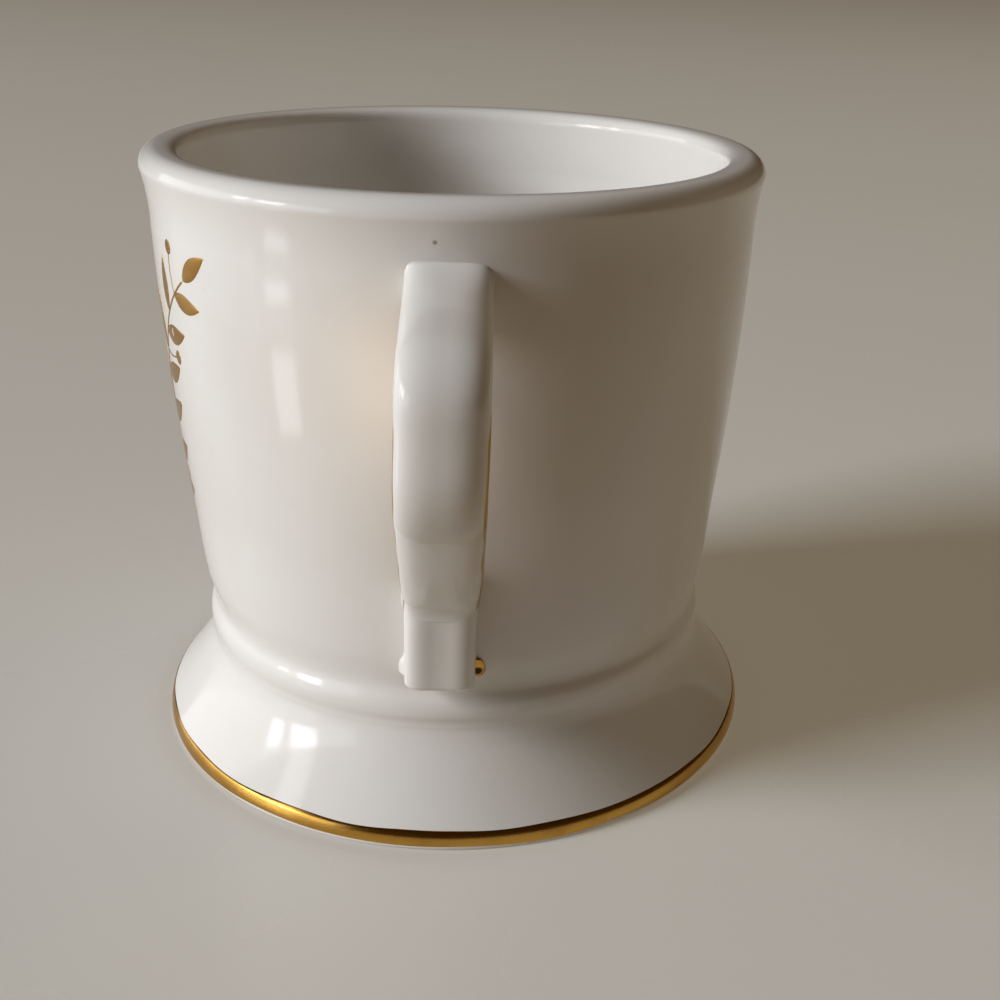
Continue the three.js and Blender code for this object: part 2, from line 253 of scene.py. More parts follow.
# The sprig: places and lengths are shares of its size, angles are from the stem
STEM = ((-0.30, -0.46), (-0.02, -0.30), (-0.10, 0.16), (0.34, 0.44))
STEM_WIDTHS = (0.42 * MM, 0.2 * MM)
STALK_WIDTH = 0.16 * MM
TIP_WIDTH = 0.02 * MM
LEAVES = np.linspace(0.16, 0.94, 11)
LEAF_LENGTH = 0.27
LEAF_SHORTER = 0.11
LEAF_ANGLE = 0.78
LEAF_BOW = 0.10
LEAF_WIDTH = 0.17
LEAF_SKEW = 0.8
LEAF_FULLNESS = 0.9
STALK_EVERY = 3
STALK_LENGTH = 0.13
STALK_ANGLE = 0.95
STALK_BOW = 0.14
LAST_LEAF = 0.17
LAST_BOW = 0.06
BERRY_RADIUS = 1.15 * MM
BERRY_OUT = 0.6

# The stage: a round table, and the corners of a brown card that lies on it in front of the mug
MUG_MIDDLE = 50 * MM
TABLE_RADIUS = 5
TABLE_RINGS = np.array([0.02, 0.1, 0.4, 1.0, 1.0, 0.02])
TABLE_DROPS = np.array([0, 0, 0, 0, 20, 20]) * MM
TABLE_GAP = 0.02 * MM
FLAG_CORNERS = np.array([(-50, -78, 0.4), (600, -78, 0.4), (600, -700, 0.4), (-50, -700, 0.4)]) * MM
SENSOR_WIDTH = 36


def length(name, description, millimetres):
    """A length in a property group: given in millimetres, kept in metres."""
    return FloatProperty(
        name=name, description=description, default=millimetres * MM, precision=5, unit="LENGTH"
    )


def angle(name, description, degrees):
    """An angle in a property group: given in degrees, kept in radians."""
    return FloatProperty(
        name=name, description=description, default=math.radians(degrees), subtype="ANGLE"
    )


def number(name, description, value):
    """A plain number in a property group."""
    return FloatProperty(name=name, description=description, default=value, precision=4)


def colour(name, description, red, green, blue):
    """A colour in a property group, as linear red, green and blue."""
    return FloatVectorProperty(
        name=name, description=description, default=(red, green, blue), size=3, subtype="COLOR", min=0, max=1
    )


class CupSizes(bpy.types.PropertyGroup):
    """Sizes of the cup, which stands on the foot"""

    axis_y: FloatProperty(
        name="Axis",
        description="Where the cup's axis stands along Y",
        default=(CUP_BOX[0].y + CUP_BOX[1].y) / 2,
        precision=5,
        unit="LENGTH",
    )
    height: FloatProperty(
        name="Height", description="Top of the lip", default=CUP_BOX[1].z, precision=5, unit="LENGTH"
    )
    rim_drop: length("Rim drop", "How far the middle of the lip lies below the top of the solid", 0.4)
    rim_tilt: length("Rim tilt", "How far the lip dips on +X and rises on -X, from drying unevenly", 0.7)
    lip_radius: length("Lip radius", "Outside radius of the rolled lip", 50.45)
    lip_roll: length("Lip roll", "Radius of the lip's outer round", 2.8)
    lip_width: length("Lip width", "From the lip's outer side to its inner edge", 6.5)
    neck_height: length("Neck height", "Height over which the wall flares into the lip", 12)
    wall_top_radius: length("Wall top radius", "Outside radius under the neck", 49.25)
    wall_foot_radius: length("Wall foot radius", "Outside radius above the bead", 43)
    belly: length("Belly", "How far the wall swells past a cone", 1)
    tuck: length("Tuck", "How far the wall stands out just above its foot, before it tucks in", 0.4)
    wall_thickness: length("Wall thickness", "Clay and glaze together", 5)
    bead_radius: length("Bead radius", "Outside radius of the bead under the wall", 43.9)
    bead_height: length("Bead height", "From the waist to the foot of the wall", 7.2)
    bead_crest: length("Bead crest", "From the waist to the widest line of the bead", 2.8)
    waist_radius: length("Waist radius", "Outside radius where cup and foot meet", 43.5)
    waist_height: length("Waist height", "Height of that joint above the table", 16.2)
    foot_lap: length("Foot lap", "How far the foot's slip covers the cup above the joint", 1.6)
    floor_thickness: length("Floor thickness", "Clay under the drink", 5.5)
    floor_corner: length("Floor corner", "Round between the floor and the wall inside", 9)
    ripple: length("Ripple", "Height of the short waves in the glaze", 0.012)
    wobble: length("Wobble", "How far the wall is out of round", 0.1)


class FootSizes(bpy.types.PropertyGroup):
    """Sizes of the flared foot"""

    radius: length("Radius", "Outside radius at the table", 52)
    top_wall: length("Top wall", "Thickness of the skirt at the waist", 6)
    edge_round: length("Edge round", "Round under the outer edge", 0.8)
    edge_low: length("Edge low", "Height where the upright edge starts", 0.5)
    edge_high: length("Edge high", "Height where the edge turns into the cove", 3.0)
    edge_lean: length("Edge lean", "How far the edge draws in at its top", 0.8)
    ring_width: length("Ring width", "Width of the flat ring that stands on the table", 4.5)
    cove_depth: length("Cove depth", "Drop from the waist to the cove's corner", 4)
    fillet: length("Fillet", "Height of the slip worked into the joint at the waist", 0.3)


class HandleSizes(bpy.types.PropertyGroup):
    """Sizes of the ear-shaped strap and its pad"""

    root_radius: length("Upper root radius", "Radius where the strap leaves the wall", 49.25)
    root_height: length("Upper root height", "Height where the strap leaves the wall", 91)
    reach: length("Reach", "From the cup's axis to the grip's outer face", 73.55)
    shoulder_height: length("Shoulder height", "Where the arm would meet the grip", 84.7)
    elbow_height: length("Elbow height", "Where the grip would meet the lower run", 63.9)
    seam_radius: length("Seam radius", "Radius of the seam between strap and tail", 50.05)
    seam_height: length("Seam height", "Height of that seam", 39.7)
    shoulder_bend: length("Shoulder bend", "Radius of the upper bend", 9.5)
    elbow_bend: length("Elbow bend", "Radius of the lower bend", 16)
    seam_bend: length("Seam bend", "Radius of the bend onto the tail", 4.4)
    top_width: length("Top width", "Width of the strap at the upper root", 11.95)
    low_width: length("Low width", "Width of the strap above the seam", 11.75)
    depth: length("Depth", "Thickness of the strap", 6.2)
    squareness: number("Squareness", "Power of the grip's superellipse section", 2.6)
    end_squareness: number("End squareness", "How much higher that power is at the strap's ends", 1.5)
    narrowing: length("Narrowing", "How much narrower the strap is at the seam", 1.15)
    end_round: length("End round", "Round at the strap's lower end", 0.3)
    crease_rise: length("Crease rise", "From the seam up to the crease", 1.4)
    crease_depth: length("Crease depth", "Depth of the crease above the seam", 0.12)
    root_depth: length("Root depth", "How deep the strap sits in the wall", 3)
    tail_low: length("Tail low", "Height of the tail's lower end", 25)
    tail_face: length("Tail face", "Radius of the tail's face at its lower end", 48)
    tail_width: length("Tail width", "Width of the tail", 10.6)
    tail_lap: length("Tail lap", "How far the tail runs up behind the strap's end", 4)
    tail_end: length("Tail end", "Height of the round at the tail's lower end", 1.1)
    tail_edge: length("Tail edge", "How far the face draws back at the tail's lower end", 1.0)
    tail_corner: length("Tail corner", "How far the sides draw in at the tail's lower end", 1.1)
    tail_step: length("Tail step", "How far the tail's face lies below the strap's at the seam", 0.05)
    tail_lump: length("Tail lump", "Size of the lump where the glaze gathered beside the tail", 0.8)
    coil_on_strap: length("Coil on strap", "How far the coil runs up the strap", 0.45)
    coil_on_wall: length("Coil on wall", "How far the coil runs out over the wall", 0.45)
    turn: angle("Turn", "How far the handle sits off the middle", -1.35)
    lean: angle("Lean", "How far the handle leans sideways", 1.6)


class GoldSizes(bpy.types.PropertyGroup):
    """Sizes of the fired gold"""

    film: length("Film", "How far the gold stands proud", 0.05)
    sunk: length("Sunk", "How deep the back of the gold lies in the glaze", 0.15)
    band_waver: length("Band waver", "How unevenly the band's edges were brushed", 0.12)
    lining_wrap: angle("Lining wrap", "How far the lining comes round the strap's right side", 25)
    lining_waver: angle("Lining waver", "How unevenly the lining's edges were brushed", 3)
    drop_height: length("Drop height", "Height of the drop of gold beside the tail", 27.2)
    drop_along: length("Drop along", "From the -Y side round to the drop of gold", 3.25)
    drop_size: length("Drop size", "Half the height of the drop of gold", 1.8)
    sprig_height: length("Sprig height", "Height of the middle of the sprig", 61)
    sprig_along: length("Sprig along", "From the cup's side round to the middle of the sprig", 13)
    sprig_size: length("Sprig size", "Length of the sprig's stem", 50)


class Finishes(bpy.types.PropertyGroup):
    """Colours of the glaze, the gold and the clay"""

    glaze: colour("Glaze", "Cream-white glaze", 0.80, 0.77, 0.72)
    glaze_thin: colour("Thin glaze", "Glaze where the clay shows through", 0.74, 0.695, 0.63)
    speck: colour("Speck", "Iron specks under the glaze", 0.20, 0.13, 0.08)
    clay: colour("Clay", "Unglazed clay", 0.62, 0.53, 0.43)
    gold: colour("Gold", "Fired gold", 0.64, 0.36, 0.075)
    gold_thin: colour("Thin gold", "Gold where it was brushed thin", 0.42, 0.20, 0.04)
    burn: colour("Burn", "Gold burnt brown in a blister", 0.05, 0.02, 0.008)


class StageSettings(bpy.types.PropertyGroup):
    """Camera, floor and light"""

    eye: FloatVectorProperty(
        name="Eye",
        description="Where the camera stands",
        default=(0, -0.212625, 0.1323),
        size=3,
        subtype="TRANSLATION",
        precision=5,
    )
    yaw: angle("Yaw", "Camera turned to the right of +Y", 2.36)
    pitch: angle("Pitch", "Camera tipped down", 19.64)
    roll: angle("Roll", "Camera rolled", 0.66)
    focal: number("Focal length", "Lens, in millimetres on a 36 mm sensor", 48.56)
    shift_x: number("Shift X", "Sideways shift of the frame", -0.0076)
    shift_y: number("Shift Y", "Upward shift of the frame", -0.0881)
    floor: colour("Floor", "Pale lacquered table", 0.555, 0.56, 0.55)
    # Painted light: the table glows with this colour, standing in for room light that fills its shadow.
    painted_fill_light: colour("Floor glow", "Room light that fills the shadow on the table", 0.13, 0.108, 0.076)
    flag: colour("Flag", "Brown card that lies in front of the mug, out of the frame", 0.36, 0.25, 0.13)
    daylight: colour("Daylight", "Light of the window, the soft panel and the cards", 0.93, 0.955, 1.0)
    side: colour("Side", "Warm light that the room throws back from the right", 1.0, 0.84, 0.60)
    glow: colour("Glow", "Light that the gold lining throws on the wall", 1.0, 0.80, 0.62)
    bounce: colour("Bounce", "Warm light from all round", 1.0, 0.54, 0.20)
    bounce_strength: number("Bounce strength", "Strength of the light from all round", 0.035)


class Lamp(NamedTuple):
    """A rectangular light, in degrees, millimetres and watts.

    Its bearing turns from -Y towards -X. It faces the mug's middle, but for its swing, and it stays unseen by
    the kinds of ray that are named.
    """

    name: str
    colour: str
    turn: float
    rise: float
    distance: float
    width: float
    tallness: float
    power: float
    unseen: tuple = ()
    sideways: float = 0
    swing: float = 0


# A window, a soft panel, a warm panel across from them, cards for reflections, and the glow of the gold
LAMPS = (
    Lamp("wide pane", "daylight", 66, 13, 2600, 540, 550, 6.2),
    Lamp("narrow pane", "daylight", 66, 13, 2600, 270, 550, 3.1, sideways=-595),
    Lamp("soft panel", "daylight", 75, 26, 6000, 2000, 2400, 342, ("glossy",)),
    Lamp("side panel", "side", -110, 30, 2000, 1200, 1200, 5, ("glossy", "camera")),
    Lamp("reflector card", "daylight", 84, 9, 2800, 5000, 1200, 30, ("diffuse",)),
    Lamp("low glint", "daylight", 57, -6, 103, 16, 20, 0.0026, ("diffuse", "camera")),
    Lamp("high glint", "daylight", 57, 7.5, 103, 16, 5.5, 0.000715, ("diffuse", "camera")),
    Lamp("gold glow", "glow", 6, 22, 57, 4, 22, 0.0018, ("glossy", "camera"), swing=-59),
)


class Value:
    """A shader socket that joins in Python expressions; each operator adds one Math node."""

    def __init__(self, tree, socket):
        self.tree = tree
        self.socket = socket

    def math(self, operation, *others):
        """A Math node whose first input is this value."""
        inputs = dict(enumerate((self, *others)))
        return add_node(self.tree, "ShaderNodeMath", {"operation": operation}, inputs, 0)

    def __add__(self, other):
        return self.math("ADD", other)

    __radd__ = __add__

    def __mul__(self, other):
        return self.math("MULTIPLY", other)

    __rmul__ = __mul__

    def __sub__(self, other):
        return self.math("SUBTRACT", other)

    def __rsub__(self, other):
        return (self * -1).math("ADD", other)

    def between(self, low, high):
        """Share of the way from low to high, held between 0 and 1 and eased at both ends."""
        settings = {"interpolation_type": "SMOOTHSTEP"}
        inputs = {"Value": self, "From Min": low, "From Max": high}
        return add_node(self.tree, "ShaderNodeMapRange", settings, inputs, "Result")


def add_node(tree, kind, settings, inputs, output):
    """Adds a shader node: its settings first, then its inputs' values or links; gives one output's value."""
    node = tree.nodes.new(kind)
    for name, setting in settings.items():
        setattr(node, name, setting)
    for key, given in inputs.items():
        if isinstance(given, Value):
            tree.links.new(given.socket, node.inputs[key])
        else:
            node.inputs[key].default_value = given
    return Value(tree, node.outputs[output]) if output is not None else node


def new_tree(name):
    """An empty node tree in a new material."""
    material = bpy.data.materials.new(name)
    material.use_nodes = True
    material.node_tree.nodes.clear()
    return material, material.node_tree


def blend_colours(tree, share, first, second):
    """A colour that goes from the first to the second as the share goes from 0 to 1."""
    settings = {"data_type": "RGBA"}
    inputs = {"Factor": share, MIX_FIRST: opaque(first), MIX_SECOND: opaque(second)}
    return add_node(tree, "ShaderNodeMix", settings, inputs, MIX_RESULT)


def opaque(given):
    """A colour with its alpha; a colour that comes from a node stays as it is."""
    return given if isinstance(given, Value) else (*given, 1)


def noise(tree, place, name):
    """Smooth noise between about 0 and 1, as wide and as detailed as its row in the table of noises says."""
    size, detail = GRAIN[name]
    inputs = {"Vector": place, "Scale": 1 / size, "Detail": detail, "Roughness": LAYER_STRENGTH}
    return add_node(tree, "ShaderNodeTexNoise", {}, inputs, "Fac")


def bumped(tree, height):
    """Normals of a surface that is raised by a varying height."""
    inputs = {"Strength": 1.0, "Distance": 1.0, "Height": height}
    return add_node(tree, "ShaderNodeBump", {}, inputs, "Normal")


def object_place(tree):
    """The piece's own coordinates."""
    return add_node(tree, "ShaderNodeTexCoord", {}, {}, "Object")


def near(tree, place, centre, radius, soft):
    """1 inside a ball round the centre, fading to 0 over a soft rim."""
    settings = {"operation": "DISTANCE"}
    gap = add_node(tree, "ShaderNodeVectorMath", settings, {0: place, 1: centre}, "Value")
    return 1 - gap.between(radius, radius + soft)


def iron_specks(tree, place):
    """Small dark dots scattered thinly: cells whose own random number is high, close to their middle."""
    inputs = {"Vector": place, "Scale": 1 / SPECK_CELL}
    gap = add_node(tree, "ShaderNodeTexVoronoi", {}, inputs, "Distance")
    tint = add_node(tree, "ShaderNodeTexVoronoi", {}, inputs, "Color")
    chosen = add_node(tree, "ShaderNodeSeparateColor", {}, {"Color": tint}, "Red").between(*SPECK_CHOICE)
    return (1 - gap.between(*SPECK_EDGE)) * chosen


def glaze_parts(tree, place, finish):
    """Colour, roughness and bumped normal of the glaze: cloudy, faintly specked and softly rippled."""
    cloud = noise(tree, place, "glaze cloud")
    mottle = noise(tree, place, "glaze mottle")
    thin = cloud.between(*CLOUD_THIN) * CLOUD_SHARE + mottle.between(*MOTTLE_THIN) * MOTTLE_SHARE
    cream = blend_colours(tree, thin, finish.glaze, finish.glaze_thin)
    tone = blend_colours(tree, iron_specks(tree, place) * SPECK_SHARE, cream, finish.speck)
    least, by_cloud, by_mottle = GLAZE_ROUGHNESS
    roughness = least + by_cloud * cloud + by_mottle * mottle
    ripple = noise(tree, place, "glaze ripple")
    peel = noise(tree, place, "glaze peel")
    return tone, roughness, bumped(tree, ripple * RIPPLE_HEIGHT + peel * PEEL_HEIGHT)


def finish_surface(tree, inputs):
    """Joins a Principled surface to the material's output."""
    surface = add_node(tree, "ShaderNodeBsdfPrincipled", {}, inputs, "BSDF")
    add_node(tree, "ShaderNodeOutputMaterial", {}, {"Surface": surface}, None)


def glaze_material(name, finish, pits):
    """Glossy cream glaze; each pit is a small dark spot where a bubble broke in the kiln: the darker clay it
    bares, and painted shade of a hole that the mesh does not have.
    """
    material, tree = new_tree(name)
    place = object_place(tree)
    tone, roughness, normal = glaze_parts(tree, place, finish)
    for centre, radius in pits:
        # Painted shade: each pit's dark spot stands in for the shade inside a hole, as well as the clay that
        # shows in it.
        dark = near(tree, place, centre, PIT_CORE * radius, radius) * PIT_CLAY_AND_SHADE_SHARE
        tone = blend_colours(tree, dark, tone, finish.speck)
    finish_surface(tree, {"Base Color": tone, "Roughness": roughness, "Normal": normal, "IOR": GLAZE_IOR})
    return material


def foot_material(name, finish, ring_top):
    """The same glaze, wiped off the flat ring that stands on the table, where the clay is bare and rough."""
    material, tree = new_tree(name)
    place = object_place(tree)
    tone, roughness, normal = glaze_parts(tree, place, finish)
    height = add_node(tree, "ShaderNodeSeparateXYZ", {}, {"Vector": place}, "Z")
    grain = noise(tree, place, "clay")
    bare = 1 - (height + grain * BARE_WAVER).between(BARE_FADE * ring_top, ring_top)
    sandy = blend_colours(tree, grain, finish.clay, finish.glaze_thin)
    inputs = {
        "Base Color": blend_colours(tree, bare, tone, sandy),
        "Roughness": roughness + bare * BARE_ROUGHNESS,
        "Normal": normal,
        "IOR": GLAZE_IOR,
    }
    finish_surface(tree, inputs)
    return material


def gold_material(name, finish, burns):
    """Fired gold: brushed thin and worn through in places, softly grained; each burn is a dark blister."""
    material, tree = new_tree(name)
    place = object_place(tree)
    cloud = noise(tree, place, "gold cloud")
    grain = noise(tree, place, "gold grain")
    worn = noise(tree, place, "gold wear").between(*GOLD_WORN)
    thin = cloud.between(*GOLD_THIN) * GOLD_THIN_SHARE
    gold = blend_colours(tree, thin, finish.gold, finish.gold_thin)
    for centre, radius in burns:
        core = BURN_CORE * radius
        gold = blend_colours(tree, near(tree, place, centre, core, radius - core), gold, finish.burn)
    least, by_cloud, by_grain = GOLD_ROUGHNESS
    inputs = {
        "Base Color": blend_colours(tree, worn, gold, finish.glaze_thin),
        "Roughness": least + by_cloud * cloud + by_grain * grain,
        "Metallic": 1 - worn * WORN_DULLING,
        "Normal": bumped(tree, grain * GOLD_GRAIN_HEIGHT + cloud * BRUSH_HEIGHT),
    }
    finish_surface(tree, inputs)
    return material


def table_material(name, stage):
    """Pale lacquer with a soft sheen, a faint grain, slightly uneven colour and a faint emitted glow: painted
    light that fills the shadow on the table.
    """
    material, tree = new_tree(name)
    place = object_place(tree)
    cloud = noise(tree, place, "table cloud")
    grain = noise(tree, place, "table grain")
    darker = [channel * TABLE_DARKER for channel in stage.floor]
    share = cloud * TABLE_CLOUD_SHARE + grain * TABLE_GRAIN_SHARE
    least, by_cloud = TABLE_ROUGHNESS
    inputs = {
        "Base Color": blend_colours(tree, share, stage.floor, darker),
        "Roughness": least + by_cloud * cloud,
        "Normal": bumped(tree, grain * TABLE_GRAIN_HEIGHT),
        "IOR": LACQUER_IOR,
        # Painted light: the table's own glow fills the shadow under the mug, though the table is no lamp.
        "Emission Color": (*stage.painted_fill_light, 1),
        "Emission Strength": 1.0,
    }
    finish_surface(tree, inputs)
    return material


def unit(bearing):
    """Unit vectors in a plane at the given bearings."""
    return np.stack([np.cos(bearing), np.sin(bearing)], axis=-1)


def ease(share):
    """Smooth step from 0 to 1."""
    held = np.clip(share, 0, 1)
    return held * held * (3 - 2 * held)


def bezier(controls, count):
    """Points along a Bezier curve: neighbouring control points are mixed by t until one point is left."""
    t = np.linspace(0, 1, count)[:, None, None]
    mixed = np.asarray(controls, float)[None] * np.ones_like(t)
    while mixed.shape[1] > 1:
        mixed = (1 - t) * mixed[:, :-1] + t * mixed[:, 1:]
    return mixed[:, 0]


def distance_gone(points):
    """Distance along a run of points, from its first point to each."""
    return np.concatenate([[0], np.cumsum(np.linalg.norm(np.diff(points, axis=0), axis=1))])


def join_runs(*runs):
    """One run of points out of several, without the points that neighbouring runs share."""
    return np.vstack([*[run[:-1] for run in runs[:-1]], runs[-1]])


def waves(name, *places):
    """A sum of seeded cosine waves over one or more coordinates, about 1 high, from the table of waves."""
    seed, count, shortest = WAVES[name]
    chance = np.random.default_rng(seed)
    total = np.zeros(np.broadcast(*places).shape)
    for _ in range(count):
        pulls = chance.normal(size=len(places))
        pulls *= FULL_TURN / shortest * chance.uniform(*WAVE_SPREAD) / np.linalg.norm(pulls)
        reach = sum(pull * place for pull, place in zip(pulls, places))
        total = total + np.cos(reach + chance.uniform(0, FULL_TURN))
    return total / math.sqrt(count)


def skin(rings, closed=False):
    """One closed shell over rings of points: quads between neighbours, and a fan of triangles on open ends.

    The shell's signed volume, the sum of a . (b x c) over its triangles, tells whether its faces point out.
    """
    rows, columns = rings.shape[:2]
    index = np.arange(rows * columns).reshape(rows, columns)
    if closed:
        index = np.vstack([index, index[:1]])
    onward = np.roll(index, -1, axis=1)
    quads = np.stack([index[:-1], onward[:-1], onward[1:], index[1:]], axis=-1).reshape(-1, 4)
    points = rings.reshape(-1, 3)
    fans = np.empty((0, 3), int)
    if not closed:
        points = np.vstack([points, rings[[0, -1]].mean(axis=1)])
        first = np.stack([np.full(columns, rows * columns), onward[0], index[0]], axis=-1)
        last = np.stack([np.full(columns, rows * columns + 1), index[-1], onward[-1]], axis=-1)
        fans = np.vstack([first, last])
    triangles = np.vstack([quads[:, :3], quads[:, [0, 2, 3]], fans])
    a, b, c = (points[triangles[:, corner]] for corner in range(3))
    if np.einsum("ij,ij->", a, np.cross(b, c)) < 0:
        quads = quads[:, ::-1]
        fans = fans[:, ::-1]
    return points, quads, fans


def add_piece(name, shells, material, nodes):
    """A smooth mesh object made of closed shells, which rides on the mug and stands for the given solids."""
    starts = np.cumsum([0, *[len(points) for points, _, _ in shells]])
    quads = np.vstack([shell[1] + start for shell, start in zip(shells, starts)])
    fans = np.vstack([shell[2] + start for shell, start in zip(shells, starts)])
    corners = np.concatenate([quads.ravel(), fans.ravel()]).astype(np.int32)
    sides = np.concatenate([np.full(len(quads), 4), np.full(len(fans), 3)])
    firsts = np.concatenate([[0], np.cumsum(sides)[:-1]]).astype(np.int32)
    points = np.vstack([shell[0] for shell in shells]).astype(np.float32)
    mesh = bpy.data.meshes.new(name)
    mesh.vertices.add(len(points))
    mesh.vertices.foreach_set("co", points.ravel())
    mesh.loops.add(len(corners))
    mesh.loops.foreach_set("vertex_index", corners)
    mesh.polygons.add(len(sides))
    mesh.polygons.foreach_set("loop_start", firsts)
    mesh.polygons.foreach_set("use_smooth", np.ones(len(sides), bool))
    mesh.update(calc_edges=True)
    if mesh.validate():
        raise RuntimeError(f"The mesh of {name} had faults")
    mesh.materials.append(material)
    piece = bpy.data.objects.new(name, mesh)
    bpy.context.scene.collection.objects.link(piece)
    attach(piece, "root")
    if nodes:
        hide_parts(*nodes)
    return piece


def wall_run(cup, inset, count):
    """The wall from its foot to its top: a quadratic curve whose height runs evenly, moved in by an inset."""
    foot = cup.waist_height + cup.bead_height
    top = cup.height - cup.neck_height
    middle = (cup.wall_foot_radius + cup.wall_top_radius) / 2 + 2 * cup.belly
    controls = [
        (cup.wall_foot_radius - inset, foot),
        (middle - inset, (foot + top) / 2),
        (cup.wall_top_radius - inset, top),
    ]
    return bezier(controls, count)


def cup_outside(cup):
    """Outside of the cup as (radius, height), from the waist over bead, wall and neck to the lip's side."""
    crest = cup.waist_height + cup.bead_crest
    foot = cup.waist_height + cup.bead_height
    top = cup.height - cup.neck_height
    lip = cup.height - cup.lip_roll
    flank = (foot - crest) / 2
    rise = cup.wall_top_radius - cup.wall_foot_radius + 4 * cup.belly
    draw_in = flank * rise / (top - foot)
    under = [
        (cup.waist_radius, cup.waist_height),
        (cup.waist_radius, (cup.waist_height + crest) / 2),
        (cup.bead_radius, (cup.waist_height + crest) / 2),
        (cup.bead_radius, crest),
    ]
    over = [
        (cup.bead_radius, crest),
        (cup.bead_radius, crest + flank),
        (cup.wall_foot_radius - draw_in, foot - flank),
        (cup.wall_foot_radius, foot),
    ]
    neck = [(cup.wall_top_radius, top), (cup.wall_top_radius, (top + lip) / 2), (cup.lip_radius, lip)]
    wall = wall_run(cup, 0, STEPS["wall"])
    above = wall[:, 1] - foot
    wall[:, 0] += cup.tuck * ease(above / TUCK_START) * ease((TUCK_TOP - above) / TUCK_FADE)
    runs = (bezier(under, STEPS["bead foot"]), bezier(over, STEPS["bead"]), wall, bezier(neck, STEPS["neck"]))
    return join_runs(*runs)


def cup_inside(cup):
    """Inside of the cup as (radius, height), from the lip's inner side down to the edge of the flat floor."""
    top = cup.height - cup.neck_height
    lip = cup.height - cup.lip_roll
    lip_inside = cup.lip_radius - cup.lip_width
    wall = wall_run(cup, cup.wall_thickness, STEPS["inner wall"])[::-1]
    floor_top = cup.waist_height + cup.floor_thickness
    bottom = wall[-1, 0]
    neck = [(lip_inside, lip), (lip_inside, (top + lip) / 2), tuple(wall[0])]
    corner = [tuple(wall[-1]), (bottom, floor_top), (bottom - cup.floor_corner, floor_top)]
    return join_runs(bezier(neck, STEPS["inner neck"]), wall, bezier(corner, STEPS["corner"]))


def outside_radius(cup, height):
    """Outside radius of the cup at a height."""
    outside = cup_outside(cup)
    return np.interp(height, outside[:, 1], outside[:, 0])


def up_share(cup, height):
    """How far up the cup a height is: 0 at the waist, 1 at the top, eased at both."""
    return ease((height - cup.waist_height) / (cup.height - cup.waist_height))


def uneven(cup, radius, height, bearing):
    """How far the wall stands off its true circle: slow lobes that grow towards the lip, and short waves."""
    lift = up_share(cup, height)
    slow = sum(share * np.cos(lobes * bearing + phase) for lobes, phase, share in LOBES)
    x, y = np.moveaxis(radius[..., None] * unit(bearing), -1, 0)
    short = waves("wall", x, y, height)
    return cup.wobble * lift * slow + cup.ripple * ease(lift * RIPPLE_RISE) * short


def spin(cup, profile, wavy):
    """Rings of a profile of (radius, height) turned about the cup's axis; a wavy one is uneven and leans."""
    bearing = np.linspace(0, FULL_TURN, TURNS, endpoint=False)[None]
    radius, height = (column[:, None] + 0 * bearing for column in profile.T)
    if wavy:
        radius = radius + uneven(cup, radius, height, bearing) * ease(radius / EVEN_RADIUS - 1)
    x, y = np.moveaxis(radius[..., None] * unit(bearing), -1, 0)
    if wavy:
        height = leaning(cup, x, height)
    return np.stack([x, y + cup.axis_y, height], axis=-1)


def leaning(cup, x, height):
    """Heights with the lean of the lip: none at the waist, all of it at the top, more far out along X."""
    return height - up_share(cup, height) * (cup.rim_drop + cup.rim_tilt * x / cup.lip_radius)


class MakeCup(bpy.types.Operator):
    """Turn the cup: bead, barrelled wall, rolled lip and round-cornered floor"""

    bl_idname = "mug.make_cup"
    bl_label = "Cup"

    def execute(self, context):
        cup = context.scene.mug_cup
        finish = context.scene.mug_finish
        centre = np.array([cup.lip_radius - cup.lip_roll, cup.height - cup.lip_roll])
        roll = centre + cup.lip_roll * unit(np.linspace(0, math.pi / 2, STEPS["lip"]))
        lip_inside = cup.lip_radius - cup.lip_width
        brim = [
            (centre[0], cup.height),
            (lip_inside + BRIM_ROUND, cup.height),
            (lip_inside, cup.height - BRIM_FALL),
            (lip_inside, centre[1]),
        ]
        outside = cup_outside(cup)
        outside = outside[outside[:, 1] > cup.waist_height + CUP_START * cup.foot_lap]
        heel_start = (outside[0, 0] - CUP_HEEL, cup.waist_height)
        underside = [(HUB_RADIUS, cup.waist_height), heel_start]
        heel = [heel_start, (outside[0, 0], cup.waist_height), tuple(outside[0])]
        inside = cup_inside(cup)
        floor = [tuple(inside[-1]), (HUB_RADIUS, cup.waist_height + cup.floor_thickness)]
        under = (bezier(underside, STEPS["underside"]), bezier(heel, STEPS["cup heel"]))
        profile = join_runs(
            *under, outside, roll, bezier(brim, STEPS["brim"]), inside, bezier(floor, STEPS["floor"])
        )
        material = glaze_material("Cup glaze", finish, [WALL_PIT])
        add_piece("cup", [skin(spin(cup, profile, True))], material, ["cup_body"])
        return {"FINISHED"}


def foot_edge(foot):
    """The foot's edge as (radius, height), from the cove down to the upright part."""
    controls = [
        (foot.radius - foot.edge_lean, foot.edge_high),
        (foot.radius, foot.edge_high - foot.edge_lean),
        (foot.radius, foot.edge_low),
    ]
    return bezier(controls, STEPS["edge"])


def slip_run(cup):
    """The foot's slip on the cup as (radius, height): the cup's outside, first just proud, then just sunk."""
    outside = cup_outside(cup)
    slip = outside[outside[:, 1] < cup.waist_height + cup.foot_lap]
    share = (slip[:, 1] - cup.waist_height) / cup.foot_lap
    slip[:, 0] += SLIP_PROUD * (1 - SLIP_SINK * share)
    return slip


